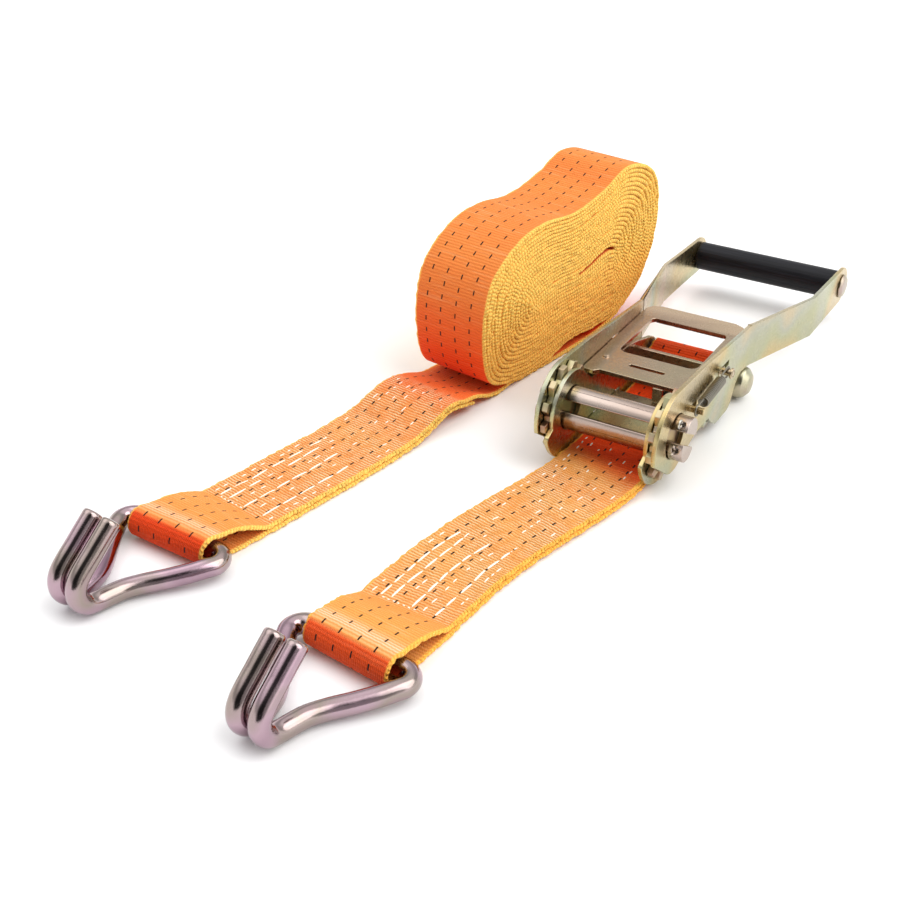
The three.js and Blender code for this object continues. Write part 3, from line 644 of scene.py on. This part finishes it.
def short_strap():
    """The sewn strap: the lower layer forwards, round the hook's bar, back on top and round the bolt."""
    rear = short_route.length + SLACK_BACK - SLACK_REACH
    t = BELT_T
    stations = np.arange(rear, EYE_REACH, -1.0)
    lower = np.stack([stations, strap_low(stations, rear) + t / 2], 1)
    front = front_eye()
    stations = np.arange(EYE_REACH + 1, rear, 1.0)
    upper = np.stack([stations, strap_low(stations, rear) + 1.5 * t], 1)
    back = eye(SLACK_REACH, FLOOR + t / 2, FLOOR + 1.5 * t, SLACK_Z, SLACK_R + t / 2)
    back = np.stack([rear + SLACK_REACH - back[:, 0], back[:, 1]], 1)[::-1]
    path = np.vstack([lower, front, upper, back])
    path = resample(soften(resample(path, 1.0), 3), 1.0)
    centre, across, normals = in_space(short_route, path)
    along = arc_length(path)
    s = path[:, 0]
    top = path[:, 1] > strap_low(s, rear) + t
    body = smoothstep(EYE_REACH - 2, EYE_REACH + 4, s) * (1 - smoothstep(rear - 4, rear + 2, s))

    def lift(i, u, h):
        si = s[i]
        on_top = (top[i] & (h > 0)) * body[i]
        return (on_top * quilt(si, u, EYE_REACH, rear, SHORT_RIDGES) + eye_arch(si, u, top[i], 31)
                + 0.06 * noise(u + si * 0.4, 8, 2.3))

    # Painted shade: dark red-orange on the fold's face and a painted shadow on the strap beneath the
    # ratchet's nose; wave is random, and the strap is a little paler near the hook's eye.
    def tone_and_painted_shade(i, u):
        si = s[i]
        painted_fold_shade = fold_face(si)
        painted_nose_shadow = smoothstep(NOSE_AT - 16, NOSE_AT + 10, si + 0.33 * u)
        wave = 0.10 * noise(si, 71, 17.0)
        mouth = smoothstep(34, 12, si) * 0.05
        return np.clip(0.12 + 0.88 * painted_fold_shade + 0.88 * painted_nose_shadow + wave - mouth, 0, 1)

    def fold_seam_painted_sheen(i, u):
        si = s[i]
        sewn = body[i] * top[i] * (0.7 + 0.3 * noise(si * 0.9 + u, 77, 9.0))
        # the seam's pale hatch fades out before the ratchet's nose, where the painted shadow is
        sewn = sewn * (1 - smoothstep(NOSE_AT - 24, NOSE_AT, si))
        # painted highlight along the top edge of the fold
        lip = 0.9 * np.exp(-(((si - 1.2) / 4.2) ** 2)) * (path[:, 1][i] > 12)
        return fold_face(si), np.clip(sewn, 0, 1), lip

    wide = 1.0 + 0.03 * smoothstep(6, 30, s) * (1 - smoothstep(NOSE_AT + 5, NOSE_AT + 28, s))
    outside = smoothstep(20, 40, s) * (1 - smoothstep(NOSE_AT - 10, NOSE_AT + 12, s))
    wide = wide + 0.025 * ~top * outside
    obj = ribbon("short_strap_webbing", centre, across, normals, along, webbing, PLY, wide, 0.0,
                 lift, tone_and_painted_shade, fold_seam_painted_sheen)
    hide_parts("short_strap")
    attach(obj, "base")
    return obj, along[-1], rear


def fold_face(s):
    """One on the face that a strap's front fold turns to the hook, none on its top."""
    return 1 - smoothstep(-6.8, -4.0, s)


def soften(path, rounds):
    """Relaxes kinks of a polyline a little, with its ends held."""
    for _ in range(rounds):
        path[1:-1] = 0.5 * path[1:-1] + 0.25 * (path[:-2] + path[2:])
    return path


def stitch_mesh(name, stitches, material):
    """Flattened thread loops, the long ones thicker. Each stitch is (start, end, up): its ends on the
    cloth and the normal."""
    points, faces = [], []
    sides, height = 8, 0.42
    profile = [(0.0, 0.25, -0.55), (0.12, 0.75, -0.05), (0.35, 1.0, 0.18), (0.65, 1.0, 0.18),
               (0.88, 0.75, -0.05), (1.0, 0.25, -0.55)]
    angles = np.linspace(0, 2 * np.pi, sides, endpoint=False)
    for k, (start, end, up) in enumerate(stitches):
        direction = unit(end - start)
        side = np.cross(up, direction)
        width = 1.3 if np.linalg.norm(end - start) > 6 else 0.85
        for t, scale, rise in profile:
            centre = start + (end - start) * t + up * rise * height
            points.append(centre + scale * (0.5 * width * np.cos(angles)[:, None] * side
                                            + 0.5 * height * np.sin(angles)[:, None] * up))
        faces += ring_faces(len(profile), sides, base=k * len(profile) * sides)
    return mesh_object(name, np.vstack(points), faces, material)


def sew(route, surface, end, seed, long_until):
    """Stitches in wandering rows: long ones near the hook, short staggered ones further on."""
    rng = random.Random(seed)
    found = []

    def add(s0, u0, s1, u1):
        ends = []
        for s, u in ((s0, u0), (s1, u1)):
            along = route.along(np.array([s]))[0]
            c = route.centre(np.array([s]))[0]
            ends.append(np.array([c[0] + along[1] * u, c[1] - along[0] * u, surface(s, u)]))
        found.append((ends[0], ends[1], np.array([0.0, 0.0, 1.0])))

    for number, row in enumerate(STITCH_ROWS):
        s = SEAM_START + rng.uniform(0.0, 1.5)
        drift = rng.uniform(0, 50)
        while s < end:
            near = s < long_until
            bold = number in BOLD_ROWS
            length = rng.uniform(8.0, 15.0) if near and bold else rng.uniform(2.4, 5.0)
            gap = rng.uniform(0.1, 0.5) if near and bold else rng.uniform(1.4, 3.6)
            skip = 0.03 if near and bold else 0.45 if near else 0.72
            u = row + 0.9 * float(noise(s + drift, seed, 16.0))
            v = row + 0.9 * float(noise(s + length + drift, seed, 16.0)) + rng.uniform(-0.25, 0.25)
            if rng.random() > skip:
                add(s, u, min(s + length, end + 1), v)
            s += length + gap
    u, begin = -14.0, SEAM_START - 0.4
    while u < 4:
        width = rng.uniform(1.2, 2.2)
        add(begin + rng.uniform(-0.2, 0.2), u, begin + rng.uniform(-0.2, 0.2), u + width)
        u += width + rng.uniform(0.9, 2.0)
    return found


def claw_path():
    """The hook's wire from one tip to the other, with the bar's middle at the origin."""
    prong_x, bend_y, bend_z, bend_r = 6.1, -59, 7.6, 10.4
    bend = []
    for degrees in (130, 100, 70, 35, 0):
        a = math.radians(degrees)
        bend.append((prong_x, bend_y - bend_r * math.sin(a), bend_z - bend_r * math.cos(a)))
    claw = [(prong_x, -43, 34.2), (prong_x, -56.2, 23.6), *bend, (7.5, -52, -2.8)]
    leg = [(9.3, -45.2, -2.7), (13.7, -37.4, -2.4), (20.8, -28, -1.8), (27.5, -18.7, -0.9)]
    corner_x, corner_r = 26, 7.2
    corner = []
    for degrees in (-38, -16, 6, 28, 50, 72):
        a = math.radians(degrees)
        corner.append((corner_x + corner_r * math.cos(a), corner_r * (math.sin(a) - 1), -0.25 * math.cos(a)))
    half = [*claw, *leg, *corner, (25.5, 0, 0), (13, 0, 0)]
    whole = half + [(-a, b, c) for a, b, c in reversed(half)]
    return resample(catmull(whole), 1.1)


def claw_hook(name, joint):
    """A hook's wire, laid out from its own joint."""
    pos = np.array(JOINTS[joint]["pos_m"]) * 1000 - OFFSET
    axis = np.array(JOINTS[joint]["axis"], float)
    bar = -axis
    ahead = np.array([-bar[1], bar[0], 0.0])
    path = claw_path()
    placed = pos + path[:, :1] * bar + path[:, 1:2] * ahead + path[:, 2:] * np.array([0, 0, 1.0])
    obj = tube_object(f"{name}_wire", placed, WIRE_R, 32, hook_zinc, chamfer=1.6)
    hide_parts(name)
    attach(obj, name)


# ---- the long strap and its roll: one ribbon ----------------------------------------------------
def roll_place(path):
    """Roll-plane (along, z) to the ratchet frame."""
    return ROLL_START + path[:, :1] * ROLL_FORWARD + path[:, 1:2] * np.array([0, 0, 1.0])


def spiral():
    """The wound part in the roll's plane, from the floor up its rear, round and round inwards, and the
    room that each turn has there."""
    outline = catmull(ROLL_POINTS, closed=True)
    outline = resample(np.vstack([outline, outline[:1]]), 1.0)[:-1]
    core = resample(catmull(CORE_POINTS), 0.5)
    distance = np.linalg.norm(outline[:, None] - core[None], axis=2)
    nearest = distance.argmin(1).astype(float)
    for _ in range(60):
        nearest = 0.5 * nearest + 0.25 * (np.roll(nearest, 1) + np.roll(nearest, -1))
    spine = np.stack([np.interp(nearest, np.arange(len(core)), core[:, k]) for k in range(2)], 1)
    outline, spine = outline[::-1], spine[::-1]
    begin = int(np.argmin(np.linalg.norm(outline - np.array(ROLL_REAR), axis=1)))
    outline, spine = np.roll(outline, -begin, 0), np.roll(spine, -begin, 0)
    n = len(outline)
    reach = np.linalg.norm(outline - spine, axis=1)
    first = 1 - 0.5 / reach
    turns = np.arange(0, int((ROLL_TURNS - CORE_GAP) * n))
    lap = turns / n
    whole = np.floor(lap)
    part = lap - whole
    step = CORE_SHARE / (ROLL_TURNS - 1)
    index = turns % n
    f = first[index] - step * (whole + smoothstep(0.80, 0.99, part))
    path = spine[index] + (outline[index] - spine[index]) * f[:, None]
    wobble = 0.12 * noise(turns, 91, 37.0) * np.minimum(1, f * 4)
    path += unit(outline[index] - spine[index]) * wobble[:, None]
    return path, reach[index] * step


def long_strap():
    """The long strap: from the end of its seam forwards, round the hook's bar, back on top, over the
    floor, up the rear of the roll and round and round to its core."""
    t = BELT_T
    stations = np.arange(SEWN_END, EYE_REACH, -1.0)
    lower = np.stack([stations, hump(stations) + t / 2], 1)
    front = front_eye()
    stations = np.arange(EYE_REACH + 1, LAID_END, 1.0)
    drop = 1 - smoothstep(SEWN_END - 3, SEWN_END + 15, stations)
    upper = np.stack([stations, hump(stations) + t / 2 + t * drop], 1)
    path = np.vstack([lower, front, upper])
    path = resample(soften(resample(path, 1.0), 3), 1.0)
    centre, across, normals = in_space(long_route, path)

    wound, room = spiral()
    last = centre[-1]
    begin = np.array([(last - ROLL_START) @ ROLL_FORWARD, last[2] - ROLL_START[2]])
    aim = unit(wound[1] - wound[0])
    q = np.linspace(0, 1, 90)[:, None]
    p0, p1 = begin, begin + np.array([42.0, 0.0])
    p3, p2 = wound[0], wound[0] - aim * 30
    rise = (1 - q) ** 3 * p0 + 3 * (1 - q) ** 2 * q * p1 + 3 * (1 - q) * q**2 * p2 + q**3 * p3
    rolled = np.vstack([rise, wound[1:]])
    room = np.concatenate([np.full(len(rise), 2.6), room[1:]])
    curve = unit(np.gradient(rolled, axis=0))
    length = arc_length(rolled)
    turn = np.abs(np.gradient(np.unwrap(np.arctan2(curve[:, 1], curve[:, 0])), length))
    pace = np.cumsum(np.concatenate([[0], np.diff(length) / np.clip(0.10 / (turn[1:] + 1e-6), 0.9, 3.2)]))
    at = np.linspace(0, pace[-1], int(pace[-1]) + 1)
    keep = [np.interp(at, pace, column) for column in (rolled[:, 0], rolled[:, 1], room, length)]
    rolled = np.stack(keep[:2], 1)
    placed = roll_place(rolled)
    shift = placed[0] - last
    ease = smoothstep(path[:, 0].max() - 70, path[:, 0].max(), path[:, 0])
    ease[: int(len(path) * 0.45)] = 0
    centre = centre + ease[:, None] * shift
    t2 = unit(np.gradient(rolled, axis=0))
    roll_normals = np.column_stack([-t2[:, 1:] * ROLL_FORWARD[None, :2], t2[:, 0]])
    roll_across = np.tile([ROLL_FORWARD[1], -ROLL_FORWARD[0], 0.0], (len(rolled), 1))

    along = np.concatenate([arc_length(path), arc_length(path)[-1] + keep[3][1:]])
    centres = np.vstack([centre, placed[1:]])
    acrosses = np.vstack([across, roll_across[1:]])
    all_normals = np.vstack([normals, roll_normals[1:]])
    thick = np.concatenate([np.full(len(path), PLY), np.minimum(2.75, keep[2][1:] - 0.07)])
    flat_count = len(path)
    past_laid = 999.0
    s = np.concatenate([path[:, 0], np.full(len(rolled) - 1, past_laid)])
    z = centres[:, 2]
    top = np.concatenate([path[:, 1] > hump(path[:, 0]) + t, np.zeros(len(rolled) - 1, bool)])
    body = smoothstep(EYE_REACH - 2, EYE_REACH + 4, s) * (1 - smoothstep(SEWN_END - 14, SEWN_END - 6, s))
    lower_part = np.arange(len(s)) < len(lower)
    wound_now = np.arange(len(s)) >= flat_count
    laid = ~wound_now
    beyond = np.where(wound_now, along - along[flat_count - 1], 0)
    slide = np.where(wound_now, 0.45 * noise(along, 55, 47.0) + 0.2 * noise(along, 56, 11.0), 0)
    slide *= smoothstep(0, 60, beyond)

    def lift(i, u, h):
        si = s[i]
        on_top = (top[i] & (h > 0)) * body[i]
        single = smoothstep(SEWN_END - 30, SEWN_END - 8, si)
        single = single * (1 - smoothstep(SEWN_END + 32, SEWN_END + 56, si)) * ~lower_part[i]
        edge_wave = single * smoothstep(8, 25, u) * (0.9 + 0.9 * np.sin(si * 0.19))
        return (on_top * quilt(si, u, EYE_REACH, LONG_QUILT_END, LONG_RIDGES)
                + eye_arch(si, u, top[i], 37) + edge_wave
                + 0.05 * noise(u + si * 0.4, 9, 2.3))

    # Painted shade: dark red-orange on the fold's face, a painted shadow on the strap beside the roll, and
    # the roll darker red-orange all over, most of all low down; wave is random.
    def tone_and_painted_shade(i, u):
        si = s[i]
        face = fold_face(si)
        roll_painted_shade = np.where(wound_now[i], (1 - smoothstep(22, 74, z[i])) * 0.58 + 0.40, 0)
        painted_roll_shadow = smoothstep(SEWN_END - 57, SEWN_END + 5, si) * laid[i] * 0.48
        wave = 0.08 * noise(along[i], 72, 19.0)
        return np.clip(np.where(wound_now[i], roll_painted_shade, 0.20 + 0.80 * face + painted_roll_shadow) + wave, 0, 1)

    def fold_seam_painted_sheen(i, u):
        si = s[i]
        sewn = body[i] * top[i] * (0.7 + 0.3 * noise(si * 0.9 + u, 78, 9.0))
        # painted highlights: along the top edge of the fold, and across the roll's front on its side toward
        # the hooks
        lip = 0.7 * np.exp(-(((si - 1.2) / 3.8) ** 2)) * (z[i] > 12) * laid[i]
        bulge = 0.62 * np.exp(-(((z[i] - 67) / 9.0) ** 2)) * wound_now[i] * (all_normals[:, 1][i] < 0)
        return fold_face(si) * laid[i], np.clip(sewn, 0, 1), lip + bulge

    wide = 1.0 + 0.03 * smoothstep(6, 30, s)
    wide = wide + 0.025 * lower_part * smoothstep(20, 40, s) * (s < SEWN_END - 35)
    obj = ribbon("long_strap_webbing", centres, acrosses, all_normals, along, webbing_roll, thick, wide,
                 slide, lift, tone_and_painted_shade, fold_seam_painted_sheen)
    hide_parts("long_strap", "strap_roll")
    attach(obj, "base")
    return obj, along[-1]


# ---- rigid pieces copied from the frame, with their edges broken --------------------------------
def dress(name, material, edge, sharp=28):
    """A copy of a CAD node whose sharp edges are rounded over, in place of the node."""
    node = frame["nodes"][name]
    bm = bmesh.new()
    bm.from_mesh(node.data)
    bmesh.ops.remove_doubles(bm, verts=bm.verts, dist=2e-6)
    bmesh.ops.dissolve_limit(bm, angle_limit=math.radians(0.8), verts=bm.verts, edges=bm.edges)
    edges = [e for e in bm.edges if len(e.link_faces) == 2 and e.calc_face_angle(0) > math.radians(sharp)]
    bmesh.ops.bevel(bm, geom=edges, offset=edge / 1000, offset_type="OFFSET", segments=2, profile=0.5,
                    affect="EDGES", clamp_overlap=False, loop_slide=True)
    mesh = bpy.data.meshes.new(f"{name}_plated")
    bm.to_mesh(mesh)
    bm.free()
    mesh.materials.append(material)
    mesh.polygons.foreach_set("use_smooth", [True] * len(mesh.polygons))
    mesh.set_sharp_from_angle(angle=math.radians(50))
    obj = added(f"{name}_plated", mesh)
    weighted = obj.modifiers.new("normals", "WEIGHTED_NORMAL")
    weighted.keep_sharp = True
    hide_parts(name)
    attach(obj, node["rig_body"])


def turned(points, angle):
    """Turned about the drum axis."""
    p = np.asarray(points, float) - [0, 0, AXIS_Z]
    c, s = math.cos(angle), math.sin(angle)
    return np.column_stack([p[:, 0], c * p[:, 1] - s * p[:, 2], s * p[:, 1] + c * p[:, 2]]) + [0, 0, AXIS_Z]


def split_pin(name, x, angle):
    """One wire bent double: an eye on top, both halves down the hole, and the ends spread."""
    wire_r = 0.6
    apart = wire_r + 0.02
    eye_path = [(0, 3.3 * apart * math.cos(a), 11.4 + 2.2 * math.sin(a)) for a in
                np.radians(np.linspace(-65, 245, 22))]
    right = [(0, apart, z) for z in (8.6, 6, 2, -2, -6, -8.4)]
    legs = [(0, 0.9, -9.2), (0, 1.6, -10.9), (0, 2.2, -12.3)]
    wire = [(a, -b, c) for a, b, c in reversed(legs)] + [(a, -b, c) for a, b, c in reversed(right)]
    wire += [(a, -b, c) for a, b, c in eye_path] + right + legs
    path = resample(catmull(wire, per_segment=8), 0.5) + [x, 7.0, AXIS_Z]
    path = turned(path, angle)
    obj = tube_object(f"{name}_wire", path, wire_r, 12, pin_zinc, chamfer=0.3, up=(1, 0, 0))
    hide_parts(name)
    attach(obj, "drum")


def pull_spring(name, sign):
    """An extension spring from the arm's post to the pawl's ear: a hook, close coils and a hook."""
    hook_r, coil_r = 3.0, 2.5
    a = np.array([SPRING_X, POST_Y, POST_Z])
    b = np.array([SPRING_X, EAR_Y, EAR_Z])
    direction = unit(b - a)
    up = np.array([0, -direction[2], direction[1]])
    out = np.array([1.0, 0, 0])
    span = np.linalg.norm(b - a)

    def place(along, side, rise):
        return a + direction * along + out * side + up * rise

    path = [place(-hook_r * math.cos(t), 0, hook_r * math.sin(t))
            for t in np.radians(np.linspace(-150, 75, 16))]
    turns, first, last = 17, 8.0, span - 9.0
    angles = np.linspace(0, 2 * np.pi * turns, turns * 18)
    for angle in angles:
        along = first + (last - first) * angle / angles[-1]
        path.append(place(along, -coil_r * math.sin(angle), coil_r * math.cos(angle)))
    path += [place(span + hook_r * math.cos(t), 0, hook_r * math.sin(t))
             for t in np.radians(np.linspace(105, -120, 16))]
    path = resample(catmull(path, per_segment=3), 0.42)
    path[:, 0] *= sign
    obj = tube_object(f"{name}_coil", path, 0.56, 8, spring_steel)
    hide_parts(name)
    start, end = a + direction * 6, b - direction * 6
    start[0] *= sign
    end[0] *= sign
    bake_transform(obj)


def push_spring():
    """The compression spring behind the frame pawl, closer wound at its ends."""
    y0, y1, z, coil_r, turns = 62.1, 79.5, 14.5, 3.4, 6.5
    t = np.linspace(0, 1, int(turns * 26))
    angle = 2 * np.pi * turns * t
    ease = t - 0.06 * np.sin(2 * np.pi * t)
    path = np.column_stack([coil_r * np.cos(angle), y0 + (y1 - y0) * ease, z + coil_r * np.sin(angle)])
    obj = tube_object("frame_pawl_spring_coil", path, 0.7, 10, dark_spring)
    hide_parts("frame_pawl_spring")
    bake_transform(obj)


def grip():
    """Hollow roller, turned along X, with faint moulded flutes along it and rounded ends."""
    half, bore, sides, flutes = 47.2, 4.35, 144, 24
    ends = [(-half, bore + 0.4), (-half, 5.2), (-half, 7.4), (-half, 8.4), (-half + 0.3, 8.95),
            (-half + 0.9, 9.16)]
    middle = [(x, GRIP_R) for x in np.linspace(-half + 2.2, half - 2.2, 25)]
    outer = ends + middle + [(-x, r) for x, r in reversed(ends)]
    profile = outer + [(half - 0.5, bore), (-half + 0.5, bore)]
    angles = np.linspace(0, 2 * np.pi, sides, endpoint=False)
    dip = 0.006 * (0.5 + 0.5 * np.cos(angles * flutes)) ** 4
    rings = []
    for x, r in profile:
        radii = r * (1 - dip * (r > GRIP_R - 0.5))
        rings.append(np.column_stack([np.full(sides, x), radii * np.cos(angles), radii * np.sin(angles)]))
    points = np.vstack(rings) + [0, GRIP_Y, GRIP_Z]
    obj = mesh_object("grip_sleeve", points, ring_faces(len(profile), sides, closed=True), black_plastic)
    obj.data.set_sharp_from_angle(angle=math.radians(60))
    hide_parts("grip")
    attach(obj, "grip")


# ---- put together --------------------------------------------------------------------------------
strap, short_length, short_rear = short_strap()
belt, long_length = long_strap()


def short_top(s, u):
    sewn = quilt(s, u, EYE_REACH, short_rear, SHORT_RIDGES)
    return float(strap_low(s, short_rear) + 2 * BELT_T - 0.02 + sewn)


def long_top(s, u):
    sewn = quilt(s, u, EYE_REACH, LONG_QUILT_END, LONG_RIDGES)
    return float(hump(s) + 2 * BELT_T - 0.02 + sewn)


short_stitches = sew(short_route, short_top, SHORT_SEAM_END, seed=5, long_until=96)
long_stitches = sew(long_route, long_top, LONG_SEAM_END, seed=6, long_until=100)
short_seam = stitch_mesh("short_strap_stitching", short_stitches, thread)
long_seam = stitch_mesh("long_strap_stitching", long_stitches, thread)
for seam, slot_name in ((short_seam, "webbing"), (long_seam, "webbing_roll")):
    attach(seam, "base")

claw_hook("hook_short", "hook_short_swing")
claw_hook("hook_long", "hook_long_swing")
dress("frame", zinc, 0.32)
for half in ("upper", "lower"):
    dress(f"drum_half_{half}", drum_steel, 0.45)
for side, sign in (("left", -1), ("right", 1)):
    dress(f"ratchet_wheel_{side}", wheel_zinc, 0.35)
    dress(f"handle_arm_{side}", zinc, 0.32)
    pull_spring(f"drive_pawl_spring_{side}", sign)
    split_pin(f"cotter_pin_upper_{side}", sign * PIN_X, DRUM_TURN)
    split_pin(f"cotter_pin_lower_{side}", sign * PIN_X, DRUM_TURN + math.pi)
push_spring()
grip()
dress("grip_axle", bolt_zinc, 0.25, sharp=20)
dress("drive_pawl", pawl_zinc, 0.32)
dress("frame_pawl", zinc, 0.3)
dress("rear_bolt", bolt_zinc, 0.4, sharp=20)
dress("rear_nut", bolt_zinc, 0.4)


# ---- stage: floor, light, camera -----------------------------------------------------------------
def floor():
    m = Shader("studio_floor")
    shade = m.noise(m.place(), 0.002, 2.0)
    m.set(Base_Color=m.mix(shade, (0.93, 0.93, 0.93), (0.96, 0.96, 0.96)), Roughness=0.85)
    mesh = bpy.data.meshes.new("floor")
    size = 7.0
    drop = -0.0003
    corners = [(-size, -size, drop), (size, -size, drop), (size, size, drop), (-size, size, drop)]
    mesh.from_pydata(corners, [], [(0, 1, 2, 3)])
    mesh.materials.append(m.material)
    obj = added("floor", mesh)


def world():
    """A studio room: bright, with a dimmer band half way up and one dark wall for the metal to show.
    Where the floor ends, what shows behind it is the same plain white."""
    made = bpy.data.worlds.new("studio")
    made.use_nodes = True
    tree = made.node_tree
    tree.nodes.clear()
    out = tree.nodes.new("ShaderNodeOutputWorld")
    background = tree.nodes.new("ShaderNodeBackground")
    coordinates = tree.nodes.new("ShaderNodeTexCoord")
    split = tree.nodes.new("ShaderNodeSeparateXYZ")
    ramp = tree.nodes.new("ShaderNodeValToRGB")
    levels = [(0.0, 1.25), (0.24, 1.2), (0.34, 0.62), (0.56, 0.55), (0.74, 1.15), (1.0, 1.2)]
    fill_ramp(ramp.color_ramp, [(position, (level, level, level)) for position, level in levels])
    toward = tree.nodes.new("ShaderNodeVectorMath")
    toward.operation = "DOT_PRODUCT"
    toward.inputs[1].default_value = (0.45, -0.76, 0.46)
    wall = tree.nodes.new("ShaderNodeMapRange")
    wall.interpolation_type = "SMOOTHSTEP"
    for key, value in (("From Min", 0.64), ("From Max", 0.86), ("To Min", 1.0), ("To Max", 0.04)):
        wall.inputs[key].default_value = value
    shade = tree.nodes.new("ShaderNodeVectorMath")
    shade.operation = "SCALE"
    tree.links.new(coordinates.outputs["Generated"], split.inputs[0])
    tree.links.new(coordinates.outputs["Generated"], toward.inputs[0])
    tree.links.new(toward.outputs["Value"], wall.inputs["Value"])
    tree.links.new(split.outputs["Z"], ramp.inputs[0])
    tree.links.new(ramp.outputs[0], shade.inputs[0])
    tree.links.new(wall.outputs[0], shade.inputs["Scale"])
    path = tree.nodes.new("ShaderNodeLightPath")
    seen = tree.nodes.new("ShaderNodeMix")
    seen.data_type = "RGBA"
    seen.inputs[7].default_value = (1.1, 1.1, 1.1, 1)
    tree.links.new(path.outputs["Is Camera Ray"], seen.inputs[0])
    tree.links.new(shade.outputs[0], seen.inputs[6])
    tree.links.new(seen.outputs[2], background.inputs["Color"])
    background.inputs["Strength"].default_value = 1.12
    tree.links.new(background.outputs[0], out.inputs[0])
    scene.world = made


def sun(name, azimuth, elevation, strength, angle):
    """Soft light from a compass direction: azimuth 0 is from +Y (behind), 90 from +X."""
    data = bpy.data.lights.new(name, "SUN")
    data.energy = strength
    data.angle = math.radians(angle)
    obj = added(name, data)
    a, e = math.radians(azimuth), math.radians(elevation)
    source = Vector((math.sin(a) * math.cos(e), math.cos(a) * math.cos(e), math.sin(e)))
    obj.rotation_mode = "QUATERNION"
    obj.rotation_quaternion = source.to_track_quat("Z", "Y")


def camera():
    data = bpy.data.cameras.new("camera")
    data.lens = 55.48
    data.sensor_width = 36
    data.clip_start = 0.01
    data.clip_end = 50
    obj = added("camera", data)
    obj.location = to_row((253.3, -597.3, 401.3))
    direction = Vector((-0.43708, 0.73332, -0.52078))
    obj.rotation_mode = "QUATERNION"
    obj.rotation_quaternion = direction.to_track_quat("-Z", "Y")
    scene.camera = obj


floor()
world()
sun("key", 78, 47, 1.85, 60)
sun("rim", -95, 55, 0.5, 50)
sun("low fill", 108, 16, 0.30, 60)
camera()
scene.view_settings.view_transform = "Standard"
scene.view_settings.exposure = 0.0
